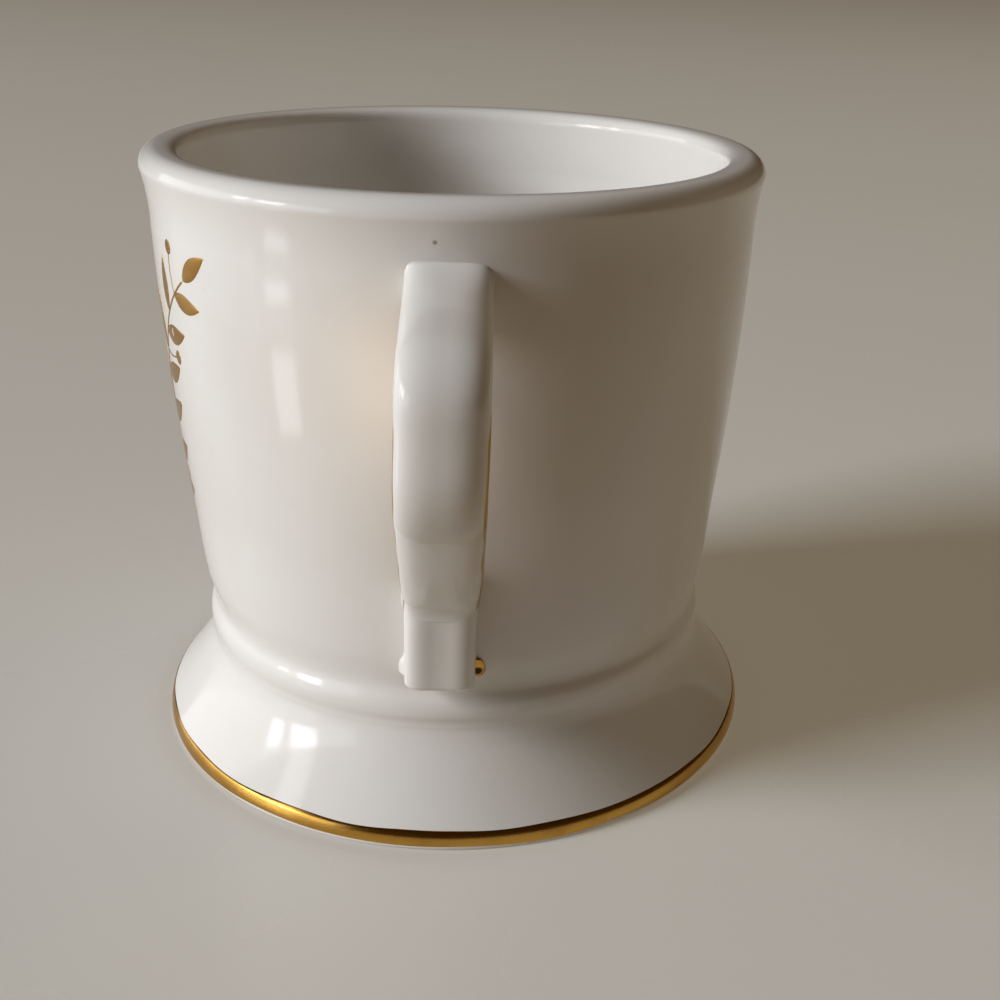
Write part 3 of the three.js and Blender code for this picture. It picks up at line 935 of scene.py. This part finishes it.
class MakeFoot(bpy.types.Operator):
    """Turn the flared foot: cove, edge, flat ring and the hollow under it"""

    bl_idname = "mug.make_foot"
    bl_label = "Foot"

    def execute(self, context):
        cup = context.scene.mug_cup
        foot = context.scene.mug_foot
        waist = cup.waist_radius
        joint = cup.waist_height
        corner = joint - foot.cove_depth
        ring_outside = foot.radius - foot.edge_round
        ring_inside = ring_outside - foot.ring_width
        top_inside = waist - foot.top_wall
        hidden = joint + LID_RISE * cup.foot_lap
        edge = foot_edge(foot)
        hollow = [(top_inside, joint), (top_inside, corner), (ring_inside, 0)]
        base = [(ring_inside, 0), (ring_outside, 0)]
        heel = [(ring_outside, 0), (foot.radius, 0), tuple(edge[-1])]
        cove = [tuple(edge[0]), (waist, corner), (waist, joint - foot.fillet)]
        rise = [(waist, joint - foot.fillet), (waist + SLIP_PROUD, joint)]
        slip = slip_run(cup)
        lid = [tuple(slip[-1]), (waist - LID_INSET, hidden), (top_inside, hidden), (top_inside, joint)]
        ring = (bezier(base, STEPS["ring"]), bezier(heel, STEPS["foot heel"]))
        over = (bezier(cove, STEPS["cove"]), bezier(rise, STEPS["fillet"]), slip, bezier(lid, STEPS["lid"]))
        profile = join_runs(bezier(hollow, STEPS["hollow"]), *ring, edge[::-1], *over)
        material = foot_material("Foot glaze and clay", context.scene.mug_finish, BARE_CLAY)
        rings = spin(cup, profile[:-1], False)
        add_piece("foot", [skin(rings, closed=True)], material, ["foot_skirt"])
        return {"FINISHED"}


def rounded_path(corners, radii):
    """A path of straight runs with a round bend at each inner corner, as points and headings."""
    corners = np.asarray(corners, float)
    legs = np.diff(corners, axis=0)
    headings = np.arctan2(legs[:, 1], legs[:, 0])
    points = []
    bearings = []
    here = corners[0]
    for corner, radius, before, after in zip(corners[1:-1], radii, headings[:-1], headings[1:]):
        turn = (after - before + math.pi) % FULL_TURN - math.pi
        start = corner - radius * math.tan(abs(turn) / 2) * unit(before)
        count = max(2, int(np.linalg.norm(start - here) / STRAP_STEP))
        points.append(np.linspace(here, start, count, endpoint=False))
        bearings.append(np.full(count, before))
        inward = math.copysign(radius, turn)
        centre = start + inward * unit(before + math.pi / 2)
        bend = before + np.linspace(0, turn, STEPS["bend"], endpoint=False)
        points.append(centre - inward * unit(bend + math.pi / 2))
        bearings.append(bend)
        here = centre - inward * unit(after + math.pi / 2)
    count = max(2, int(np.linalg.norm(corners[-1] - here) / STRAP_STEP))
    points.append(np.linspace(here, corners[-1], count))
    bearings.append(np.full(count, headings[-1]))
    return np.vstack(points), np.concatenate(bearings)


def tail_lean(handle):
    """How far the tail's face leans out for each metre of height."""
    return (handle.seam_radius - handle.tail_face) / (handle.seam_height - handle.tail_low)


def strap_path(handle):
    """Outer face of the strap in the handle's plane: arm, shoulder, grip, elbow, run, bend onto the tail."""
    root = np.array([handle.root_radius, handle.root_height])
    shoulder = np.array([handle.reach, handle.shoulder_height])
    elbow = np.array([handle.reach, handle.elbow_height])
    seam = np.array([handle.seam_radius, handle.seam_height])
    arm = (shoulder - root) / np.linalg.norm(shoulder - root)
    down = np.array([-tail_lean(handle), -1])
    end = seam + END_RUN * down / np.linalg.norm(down)
    corners = [root - handle.root_depth * arm, shoulder, elbow, seam, end]
    return rounded_path(corners, [handle.shoulder_bend, handle.elbow_bend, handle.seam_bend])


def strap_stations(handle):
    """Stations down the strap: outer points, headings, distance gone, half widths, half depths and powers.

    The width falls evenly, then faster near the seam; the section's power rises towards both ends. Past the
    last station the end is rounded: ring by ring, it moves on by a sine and draws in by one minus a cosine.
    """
    points, bearings = strap_path(handle)
    gone = distance_gone(points)
    total = gone[-1]
    width = handle.top_width + (handle.low_width - handle.top_width) * gone / total
    width = width - handle.narrowing * ease(1 - (total - gone) / NARROW_RUN)
    quarter = np.linspace(0, math.pi / 2, STEPS["strap end"] + 1)[1:]
    past = handle.end_round * np.sin(quarter)
    drawn = handle.end_round * (1 - np.cos(quarter))
    points = np.vstack([points, points[-1] + past[:, None] * unit(bearings[-1])])
    bearings = np.concatenate([bearings, np.full(len(quarter), bearings[-1])])
    half_width = np.concatenate([width / 2, width[-1] / 2 - drawn])
    half_depth = np.full(len(gone) + len(quarter), handle.depth / 2)
    half_depth[len(gone):] -= drawn
    gone = np.concatenate([gone, total + past])
    at_ends = ease(1 - gone / ROOT_RUN) + ease(1 - (total - gone) / SEAM_RUN)
    return points, bearings, gone, half_width, half_depth, handle.squareness + handle.end_squareness * at_ends


def section(power, around):
    """Superellipse of half width and half height 1: each axis is a cosine or sine raised to 2 / power."""
    flat = unit(around)
    return np.sign(flat) * np.abs(flat) ** (2 / power)


def section_normal(power, around):
    """Outward normals of that superellipse: each axis is a cosine or sine raised to 2 - 2 / power."""
    flat = unit(around)
    steep = np.sign(flat) * np.abs(flat) ** (2 - 2 / power)
    return steep / np.linalg.norm(steep, axis=-1, keepdims=True)


def strap_surface(handle, around, lift):
    """Points of the strap on a grid of stations and section angles, lifted off the clay.

    A point is the outer-face point, less half the depth, plus the section's height along the outer side; a
    shallow wavering crease runs across the outer face a little above the seam.
    """
    points, bearings, gone, half_width, half_depth, power = strap_stations(handle)
    flat = section(power[:, None, None], around)
    steep = section_normal(power[:, None, None], around)
    across = flat[..., 0] * half_width[:, None] + steep[..., 0] * lift
    above = flat[..., 1] * half_depth[:, None] + steep[..., 1] * lift - handle.depth / 2
    seam = gone[-1] - END_RUN - handle.end_round
    crease = seam - handle.crease_rise + CREASE_WAVER * waves("crease", across)
    dip = np.exp(-(((gone[:, None] - crease) / CREASE_WIDTH) ** 2)) * ease(flat[..., 1] * 2)
    broken = CREASE_BREAK * waves("crease ends", across)
    dip = dip * ease(CREASE_REACH - np.abs(across) / CREASE_HALF + broken)
    above = above - handle.crease_depth * dip + FACE_WAVER * waves("strap face", gone[:, None], across)
    across = across + SIDE_WAVER * waves("strap sides", gone[:, None], above)
    outer = unit(bearings + math.pi / 2)[:, None]
    plane = points[:, None] + outer * above[..., None]
    return across, plane[..., 0], plane[..., 1]


def lean_over(handle, x, height):
    """Leans the handle sideways about the middle of its grip."""
    middle = (handle.shoulder_height + handle.elbow_height) / 2
    cosine = math.cos(handle.lean)
    sine = math.sin(handle.lean)
    return cosine * x + sine * (height - middle), middle - sine * x + cosine * (height - middle)


def turn_on_cup(handle, cup, x, reach, height):
    """Points of the handle, given as across, out from the axis and up, turned to their place on the cup."""
    cosine = math.cos(handle.turn)
    sine = math.sin(handle.turn)
    return np.stack([cosine * x + sine * reach, sine * x - cosine * reach + cup.axis_y, height], axis=-1)


def wall_radius(cup, handle, x, reach, height):
    """Radius of the uneven wall beside points of the handle, given as across, out from the axis and up."""
    radius = outside_radius(cup, height)
    bearing = np.arctan2(x, reach) + handle.turn - math.pi / 2
    return radius + uneven(cup, radius, height, bearing)


class MakeStrap(bpy.types.Operator):
    """Carry the strap's crowned section along its ear-shaped path"""

    bl_idname = "mug.make_strap"
    bl_label = "Handle strap"

    def execute(self, context):
        cup = context.scene.mug_cup
        handle = context.scene.mug_handle
        around = np.linspace(0, FULL_TURN, STRAP_SIDES, endpoint=False)[None]
        across, reach, height = strap_surface(handle, around, 0)
        x, z = lean_over(handle, across, height)
        rings = turn_on_cup(handle, cup, x, reach, z)
        material = glaze_material("Handle glaze", context.scene.mug_finish, [STRAP_PIT])
        add_piece("strap", [skin(rings)], material, ["handle_strap"])
        return {"FINISHED"}


class MakeTail(bpy.types.Operator):
    """Raise the tail pad off the wall under the strap's lower end"""

    bl_idname = "mug.make_tail"
    bl_label = "Handle tail"

    def execute(self, context):
        cup = context.scene.mug_cup
        handle = context.scene.mug_handle
        material = glaze_material("Tail glaze", context.scene.mug_finish, [])
        add_piece("tail", [skin(tail_rings(cup, handle))], material, ["handle_tail"])
        return {"FINISHED"}


def tail_rings(cup, handle):
    """Rings of the tail, one under the other, from behind the strap's end down to the tail's round lower end.

    A ring's front is the strap's own section; its sides then run back into the wall, flaring where they meet
    it, and one side bulges where the glaze gathered. Towards the lower end the face draws back and the sides
    draw in by one minus a cosine.
    """
    front = section(handle.squareness + handle.end_squareness, np.linspace(0, math.pi, TAIL_SIDES))
    side_steps, back_steps = STEPS["tail side"], STEPS["tail back"]
    down_side = np.linspace(0, 1, side_steps + 1)[1:]
    back = np.linspace(-1, 1, back_steps + 2)[1:-1]
    unit_across = np.concatenate([front[:, 0], np.full(side_steps, -1), back, np.full(side_steps, 1)])[None]
    rise = np.concatenate([front[:, 1], np.zeros(2 * side_steps + back_steps)])[None]
    sink = np.concatenate([np.zeros(TAIL_SIDES), down_side, np.ones(back_steps), down_side[::-1]])[None]
    quarter = np.linspace(0, math.pi / 2, STEPS["tail end"])
    top = handle.seam_height + handle.tail_lap
    straight = np.linspace(top, handle.tail_low + handle.tail_end, STEPS["tail"], endpoint=False)
    height = np.concatenate([straight, handle.tail_low + handle.tail_end * (1 - np.sin(quarter))])[:, None]
    drawn = np.concatenate([0 * straight, 1 - np.cos(quarter)])[:, None]
    behind = ease((height - handle.seam_height) / handle.tail_lap)
    half_width = handle.tail_width / 2 - handle.tail_corner * drawn - TAIL_INSET * behind
    flare = FLARE * ease((sink - FLARE_FROM) / (FLARE_TO - FLARE_FROM))
    up = (height - handle.tail_low - LUMP_RISE) / LUMP_TALLNESS
    lump = np.exp(-(up**4) - ((sink - LUMP_SHARE) / LUMP_SPREAD) ** 2)
    lump = handle.tail_lump * lump * (unit_across < LUMP_SIDE)
    across = half_width * unit_across + np.sign(unit_across) * flare - lump
    x, z = lean_over(handle, across, height + 0 * across)
    wall = np.sqrt(wall_radius(cup, handle, x, outside_radius(cup, z), z) ** 2 - x**2)
    face = handle.tail_face + tail_lean(handle) * (height - handle.tail_low) - handle.tail_edge * drawn
    face = face - handle.tail_step * (1 + TAIL_UNEVEN * waves("tail step", across))
    middle = face - handle.depth / 2
    reach = middle + rise * handle.depth / 2 - sink * (middle - wall + TAIL_SUNK)
    reach = reach + FACE_WAVER * waves("tail", across, height)
    return turn_on_cup(handle, cup, x, reach, z)


def coil_rings(cup, handle, station, away, around, lift):
    """Rings of a coil of clay worked into the corner between the strap and the wall.

    Each line of the strap that runs along its heading is followed to the wall by halving a bracket. From that
    corner one point lies up the strap and one out over the wall; a quadratic curve with the corner as its
    control point joins them, and a point inside the clay closes the ring.
    """
    points, bearings, _, half_width, half_depth, power = strap_stations(handle)
    flat = section(power[station], around)
    steep = section_normal(power[station], around)
    outer = unit(bearings[station] + math.pi / 2)
    heading = away * unit(bearings[station])
    across = flat[:, 0] * half_width[station]
    plane = points[station] + outer * (flat[:, 1:] * half_depth[station] - handle.depth / 2)

    def on_line(travel):
        """Points a distance along the lines of the strap."""
        moved = plane + heading * travel[:, None]
        x, z = lean_over(handle, across, moved[:, 1])
        return np.stack([x, moved[:, 0], z], axis=-1)

    low = np.full(len(around), -COIL_BRACKET)
    high = -low
    for _ in range(STEPS["halving"]):
        middle = (low + high) / 2
        place = on_line(middle)
        inside = np.hypot(place[:, 0], place[:, 1]) < wall_radius(cup, handle, *place.T)
        low = np.where(inside, middle, low)
        high = np.where(inside, high, middle)
    corner = on_line(low)
    side = np.stack([steep[:, 0], steep[:, 1] * outer[0], steep[:, 1] * outer[1]], axis=-1)
    level = corner * [1, 1, 0]
    wall_normal = level / np.linalg.norm(level, axis=-1, keepdims=True)
    over_wall = side - wall_normal * np.sum(side * wall_normal, axis=-1, keepdims=True)
    over_wall /= np.linalg.norm(over_wall, axis=-1, keepdims=True)
    up_strap = on_line(low + handle.coil_on_strap * lift) - COIL_SUNK * side
    out = corner + over_wall * (handle.coil_on_wall * lift)[:, None]
    stretch = (wall_radius(cup, handle, *out.T) - COIL_SUNK) / np.hypot(out[:, 0], out[:, 1])
    out = out * np.stack([stretch, stretch, np.ones_like(stretch)], axis=-1)
    buried = corner - COIL_ROOT * (side + wall_normal)
    t = np.linspace(0, 1, STEPS["coil"])[:, None, None]
    fillet = (1 - t) ** 2 * up_strap + 2 * t * (1 - t) * corner + t**2 * out
    rings = np.concatenate([fillet, buried[None]]).transpose(1, 0, 2)
    return turn_on_cup(handle, cup, rings[..., 0], rings[..., 1], rings[..., 2])


class MakeCoils(bpy.types.Operator):
    """Work a coil of clay into the corner round each root of the strap"""

    bl_idname = "mug.make_coils"
    bl_label = "Luting coils"

    def execute(self, context):
        cup = context.scene.mug_cup
        handle = context.scene.mug_handle
        material = glaze_material("Coil glaze", context.scene.mug_finish, [])
        around = np.linspace(0, FULL_TURN, COIL_SIDES, endpoint=False)
        corner = np.exp(-(((around - CORNER_ANGLE) / CORNER_SPREAD) ** 2))
        lift = COIL_LIFT + COIL_FLAT_LIFT * np.abs(np.sin(around)) + CORNER_LIFT * corner
        upper = skin(coil_rings(cup, handle, COIL_STATION, 1, around, lift), closed=True)
        add_piece("upper_coil", [upper], material, ["upper_luting_coil"])
        bend = int(np.argmax(np.diff(strap_path(handle)[1]) > LEAST_TURN))
        arch = np.linspace(ARCH_START, ARCH_END, COIL_SIDES)
        fade = ease(np.minimum(arch - ARCH_START, ARCH_END - arch) / ARCH_FADE)
        lift = ARCH_THIN + (1 - ARCH_THIN) * fade
        lower = skin(coil_rings(cup, handle, bend - BEFORE_BEND, -1, arch, lift))
        add_piece("lower_coil", [lower], material, ["lower_luting_coil"])
        return {"FINISHED"}


def film_rings(front, back):
    """Closed rings of a thin film: its front points, then its back points in the other direction."""
    return np.concatenate([front, back[:, ::-1]], axis=1)


def film_edge(share):
    """Height of a film across its width: full in the middle, falling to below 0 at both edges."""
    return (1 + EDGE_SUNK) * (1 - np.abs(2 * share - 1) ** EDGE_POWER) - EDGE_SUNK


class MakeGoldBand(bpy.types.Operator):
    """Brush the gold band round the edge of the foot"""

    bl_idname = "mug.make_gold_band"
    bl_label = "Gold band"

    def execute(self, context):
        cup = context.scene.mug_cup
        foot = context.scene.mug_foot
        rings = band_rings(cup, foot, context.scene.mug_gold)
        material = gold_material("Band gold", context.scene.mug_finish, [])
        add_piece("gold_band", [skin(rings, closed=True)], material, ["foot_gold_band"])
        return {"FINISHED"}


def band_rings(cup, foot, gold):
    """Rings of the gold band: at each bearing it follows the foot's edge between two brushed limits."""
    edge = foot_edge(foot)
    fallen = distance_gone(edge)
    bearing = np.linspace(0, FULL_TURN, 2 * TURNS, endpoint=False)[:, None]
    share = np.linspace(0, 1, FILM_SIDES)[None]
    x, y = np.moveaxis(foot.radius * unit(bearing), -1, 0)
    start = gold.band_waver * (BRUSH_INSET + waves("band top", x, y))
    stop = fallen[-1] - gold.band_waver * (BRUSH_INSET + waves("band foot", x, y))
    along = start + share * (stop - start)
    radius = np.interp(along, fallen, edge[:, 0])
    height = np.interp(along, fallen, edge[:, 1])
    slope_r = np.interp(along, fallen, np.gradient(edge[:, 0], fallen))
    slope_z = np.interp(along, fallen, np.gradient(edge[:, 1], fallen))

    def lifted(lift):
        """Points of the foot's edge lifted off the clay."""
        out = radius - slope_z * lift
        up = height + slope_r * lift
        return np.stack([out * np.cos(bearing), out * np.sin(bearing) + cup.axis_y, up], axis=-1)

    return film_rings(lifted(gold.film * film_edge(share)), lifted(-gold.sunk))


class MakeGoldLining(bpy.types.Operator):
    """Brush the gold lining on the inside of the strap and round to its sides"""

    bl_idname = "mug.make_gold_lining"
    bl_label = "Gold lining"

    def execute(self, context):
        cup = context.scene.mug_cup
        handle = context.scene.mug_handle
        rings = lining_rings(cup, handle, context.scene.mug_gold)
        material = gold_material("Lining gold", context.scene.mug_finish, [])
        add_piece("gold_lining", [skin(rings)], material, ["handle_gold_lining"])
        return {"FINISHED"}


class MakeGoldDrop(bpy.types.Operator):
    """Let a drop of gold run down the wall beside the tail, with a burnt blister in it"""

    bl_idname = "mug.make_gold_drop"
    bl_label = "Gold drop"

    def execute(self, context):
        cup = context.scene.mug_cup
        gold = context.scene.mug_gold
        share = np.linspace(-1, 1, STEPS["drop"])
        height = gold.drop_height + gold.drop_size * share
        along = outside_radius(cup, height) * math.pi / 2 + gold.drop_along
        path = np.stack([along, height], axis=-1)
        half_width = DROP_WIDTH * gold.drop_size * half_circle(share)
        drop = brush_stroke(cup, path, half_width, DROP_PROUD, gold.sunk)
        burnt = on_wall(cup, along, height, BURN_LIFT)[BURN_PLACE]
        material = gold_material("Drop gold", context.scene.mug_finish, [(tuple(burnt), BURN_RADIUS)])
        add_piece("gold_drop", [drop], material, [])
        return {"FINISHED"}


def half_circle(share):
    """Height of a half circle over its own diameter, from -1 to 1; its ends keep a little height."""
    return np.sqrt(np.maximum(1 - share**2, SMALLEST**2))


def lining_rings(cup, handle, gold):
    """Rings of the gold lining: the strap's own surface between two brushed limits, lifted by the film."""
    gone = strap_stations(handle)[2][:, None]
    share = np.linspace(0, 1, 2 * FILM_SIDES)[None]
    reach_round = gold.lining_wrap * ease((gone - LINING_START) / LINING_RUN)
    left = math.pi - LINING_LEFT * reach_round - gold.lining_waver * waves("lining left", gone)
    right = FULL_TURN + reach_round + gold.lining_waver * waves("lining right", gone)
    around = left + share * (right - left)

    def lifted(lift):
        """Points of the strap lifted off the clay."""
        across, reach, height = strap_surface(handle, around, lift)
        x, z = lean_over(handle, across, height)
        return turn_on_cup(handle, cup, x, reach, z)[LINING_STATIONS]

    return film_rings(lifted(gold.film * film_edge(share)), lifted(-gold.sunk))


def on_wall(cup, along, height, lift):
    """Points on the cup's -X side: along is the distance round the wall from that side towards -Y."""
    radius = outside_radius(cup, height)
    bearing = math.pi + along / radius
    radius = radius + uneven(cup, radius, height, bearing) + lift
    x, y = np.moveaxis(radius[..., None] * unit(bearing), -1, 0)
    return np.stack([x, y + cup.axis_y, leaning(cup, x, height)], axis=-1)


def brush_stroke(cup, path, half_width, proud, sunk):
    """A shell for one stroke of gold on the wall: an ellipse, wide and thin, carried along a path."""
    heading = np.gradient(path, axis=0)
    heading /= np.linalg.norm(heading, axis=1, keepdims=True)
    across = np.stack([-heading[:, 1], heading[:, 0]], axis=-1)
    around = np.linspace(0, FULL_TURN, STROKE_SIDES, endpoint=False)[None]
    spread = path[:, None] + across[:, None] * (half_width[:, None] * np.cos(around))[..., None]
    thickness = np.minimum(half_width / STROKE_EDGE, 1)[:, None]
    lift = np.where(np.sin(around) > 0, proud, sunk) * np.sin(around) * thickness
    return skin(on_wall(cup, spread[..., 0], spread[..., 1], lift))


def leaf(foot_point, bearing, size, bow):
    """Path and half widths of a leaf: a bowed line, widest before its middle and pointed at its tip."""
    t = np.linspace(0, 1, STEPS["leaf"])
    tip = foot_point + size * unit(bearing)
    bend = (foot_point + tip) / 2 + bow * size * unit(bearing + math.pi / 2)
    half_width = LEAF_WIDTH * size * np.sin(math.pi * t**LEAF_SKEW) ** LEAF_FULLNESS + TIP_WIDTH
    return bezier([foot_point, bend, tip], STEPS["leaf"]), half_width


class MakeGoldSprig(bpy.types.Operator):
    """Paint a plain leafy sprig in gold on the side of the cup"""

    bl_idname = "mug.make_gold_sprig"
    bl_label = "Gold sprig"

    def execute(self, context):
        cup = context.scene.mug_cup
        gold = context.scene.mug_gold
        proud = STROKE_FILMS * gold.film
        shells = [brush_stroke(cup, *stroke, proud, gold.sunk) for stroke in sprig_strokes(gold)]
        material = gold_material("Sprig gold", context.scene.mug_finish, [])
        add_piece("gold_sprig", shells, material, [])
        return {"FINISHED"}


def sprig_strokes(gold):
    """Strokes of the sprig: a curved stem, leaves to either side in turn, and berries on short stalks."""
    size = gold.sprig_size
    middle = np.array([gold.sprig_along, gold.sprig_height])
    stem = bezier(np.array(STEM) * size + middle, STEPS["stem"])
    taper = np.linspace(*STEM_WIDTHS, len(stem))
    taper[[0, -1]] = TIP_WIDTH
    strokes = [(stem, taper)]
    headings = np.gradient(stem, axis=0)
    bearings = np.arctan2(headings[:, 1], headings[:, 0])
    for order, share in enumerate(LEAVES):
        place = int(share * (len(stem) - 1))
        hand = 1 if order % 2 else -1
        leaf_size = size * (LEAF_LENGTH - LEAF_SHORTER * share)
        strokes.append(leaf(stem[place], bearings[place] + hand * LEAF_ANGLE, leaf_size, hand * LEAF_BOW))
        if order % STALK_EVERY == 1:
            bearing = bearings[place] - hand * STALK_ANGLE
            stalk, stalk_width = leaf(stem[place], bearing, size * STALK_LENGTH, -hand * STALK_BOW)
            strokes.append((stalk, np.minimum(stalk_width, STALK_WIDTH)))
            strokes.append(berry(stalk[-1], bearing))
    strokes.append(leaf(stem[-1], bearings[-1], size * LAST_LEAF, LAST_BOW))
    return strokes


def berry(centre, bearing):
    """Path and half widths of a round berry: half a circle's height along its own diameter."""
    t = np.linspace(-1, 1, STEPS["berry"])
    path = centre + (BERRY_RADIUS * (t[:, None] + BERRY_OUT)) * unit(bearing)
    return path, BERRY_RADIUS * half_circle(t)


class MakeStage(bpy.types.Operator):
    """Set the table, the brown card in front, the lamps, the warm light from all round and the camera"""

    bl_idname = "mug.make_stage"
    bl_label = "Stage"

    def execute(self, context):
        stage = context.scene.mug_stage
        self.make_table(context.scene, stage)
        self.make_flag(context.scene, stage)
        self.make_lights(context.scene, stage)
        self.make_camera(context.scene, stage)
        return {"FINISHED"}

    def make_table(self, scene, stage):
        """A flat round table, wide enough to fill every view: rings of a disc and a thin edge."""
        bearing = np.linspace(0, FULL_TURN, TABLE_SIDES, endpoint=False)
        rim = np.concatenate([TABLE_RADIUS * unit(bearing), np.zeros((TABLE_SIDES, 1))], axis=1)
        rings = rim[None] * TABLE_RINGS[:, None, None]
        rings[..., 2] = -TABLE_DROPS[:, None] - TABLE_GAP
        points, quads, fans = skin(rings)
        faces = [*quads.tolist(), *fans.tolist()]
        add_prop(scene, "table", points, faces, table_material("Pale lacquer", stage))

    def make_flag(self, scene, stage):
        """A brown card on the table, out of the frame: it only takes light off the front of the mug."""
        material, tree = new_tree("Brown card")
        finish_surface(tree, {"Base Color": (*stage.flag, 1), "Roughness": FLAG_ROUGHNESS})
        flag = add_prop(scene, "flag", FLAG_CORNERS, [range(len(FLAG_CORNERS))], material)
        flag.visible_camera = False
        flag.visible_shadow = False
        flag.visible_glossy = False

    def make_lights(self, scene, stage):
        """Every lamp of the table of lamps, and an even warm light from all round."""
        for lamp in LAMPS:
            light = bpy.data.lights.new(lamp.name, "AREA")
            light.shape = "RECTANGLE"
            light.size = lamp.width * MM
            light.size_y = lamp.tallness * MM
            light.energy = lamp.power
            light.color = getattr(stage, lamp.colour)
            panel = bpy.data.objects.new(lamp.name, light)
            panel.matrix_world = lamp_place(lamp)
            for ray in lamp.unseen:
                setattr(panel, f"visible_{ray}", False)
            scene.collection.objects.link(panel)
        world = bpy.data.worlds.new("warm room")
        world.use_nodes = True
        background = world.node_tree.nodes["Background"]
        background.inputs["Color"].default_value = (*stage.bounce, 1)
        background.inputs["Strength"].default_value = stage.bounce_strength
        scene.world = world
        scene.view_settings.view_transform = "Standard"

    def make_camera(self, scene, stage):
        """A camera turned by its yaw, tipped down by its pitch and then rolled."""
        forward = np.array([
            math.sin(stage.yaw) * math.cos(stage.pitch),
            math.cos(stage.yaw) * math.cos(stage.pitch),
            -math.sin(stage.pitch),
        ])
        level = np.array([math.cos(stage.yaw), -math.sin(stage.yaw), 0])
        upright = np.cross(level, forward)
        right = math.cos(stage.roll) * level + math.sin(stage.roll) * upright
        top = math.cos(stage.roll) * upright - math.sin(stage.roll) * level
        lens = bpy.data.cameras.new("camera")
        lens.sensor_width = SENSOR_WIDTH
        lens.lens = stage.focal
        lens.shift_x = stage.shift_x
        lens.shift_y = stage.shift_y
        lens.clip_start = 1 * MM
        camera = bpy.data.objects.new("camera", lens)
        camera.matrix_world = placed(right, top, -forward, stage.eye)
        scene.collection.objects.link(camera)
        scene.camera = camera


def add_prop(scene, name, points, faces, material):
    """A mesh object of the stage."""
    mesh = bpy.data.meshes.new(name)
    mesh.from_pydata(points.tolist(), [], faces)
    mesh.materials.append(material)
    prop = bpy.data.objects.new(name, mesh)
    scene.collection.objects.link(prop)
    return prop


def lamp_place(lamp):
    """Where a lamp stands and which way it faces, as a matrix."""
    turn, rise, swing = np.radians([lamp.turn, lamp.rise, lamp.swing])
    toward, back = (
        np.array([-math.sin(bearing) * math.cos(rise), -math.cos(bearing) * math.cos(rise), math.sin(rise)])
        for bearing in (turn, turn + swing)
    )
    side = np.array([-back[1], back[0], 0]) / math.cos(rise)
    spot = (toward * lamp.distance + side * lamp.sideways) * MM + [0, 0, MUG_MIDDLE]
    return placed(side, np.cross(back, side), back, spot)


def placed(right, top, back, spot):
    """A matrix whose columns are three directions and a place."""
    columns = np.eye(4)
    columns[:3] = np.stack([right, top, back, spot], axis=1)
    return Matrix(columns.tolist())


class MugPanel(bpy.types.Panel):
    """Lists the mug's pieces in the order in which they are made"""

    bl_idname = "VIEW3D_PT_mug"
    bl_label = "Mug"
    bl_space_type = "VIEW_3D"
    bl_region_type = "UI"
    bl_category = "Mug"

    def draw(self, context):
        for operator in OPERATORS:
            self.layout.operator(operator.bl_idname)
        for name in SETTINGS:
            group = getattr(context.scene, name)
            box = self.layout.box()
            box.label(text=group.bl_rna.description)
            for key in group.__annotations__:
                box.prop(group, key)


SETTINGS = {
    "mug_cup": CupSizes,
    "mug_foot": FootSizes,
    "mug_handle": HandleSizes,
    "mug_gold": GoldSizes,
    "mug_finish": Finishes,
    "mug_stage": StageSettings,
}
OPERATORS = (
    MakeCup,
    MakeFoot,
    MakeStrap,
    MakeTail,
    MakeCoils,
    MakeGoldBand,
    MakeGoldLining,
    MakeGoldDrop,
    MakeGoldSprig,
    MakeStage,
)


def register():
    """Registers the classes and hangs the sizes on the scene."""
    for group in (*SETTINGS.values(), *OPERATORS, MugPanel):
        bpy.utils.register_class(group)
    for name, group in SETTINGS.items():
        setattr(bpy.types.Scene, name, PointerProperty(type=group))


def unregister():
    """Takes the sizes off the scene and the classes out."""
    for name in SETTINGS:
        delattr(bpy.types.Scene, name)
    for group in reversed((*SETTINGS.values(), *OPERATORS, MugPanel)):
        bpy.utils.unregister_class(group)


def main():
    """Makes every piece in order."""
    register()
    bpy.ops.mug.make_cup()
    bpy.ops.mug.make_foot()
    bpy.ops.mug.make_strap()
    bpy.ops.mug.make_tail()
    bpy.ops.mug.make_coils()
    bpy.ops.mug.make_gold_band()
    bpy.ops.mug.make_gold_lining()
    bpy.ops.mug.make_gold_drop()
    bpy.ops.mug.make_gold_sprig()
    bpy.ops.mug.make_stage()


if __name__ == "__main__":
    main()
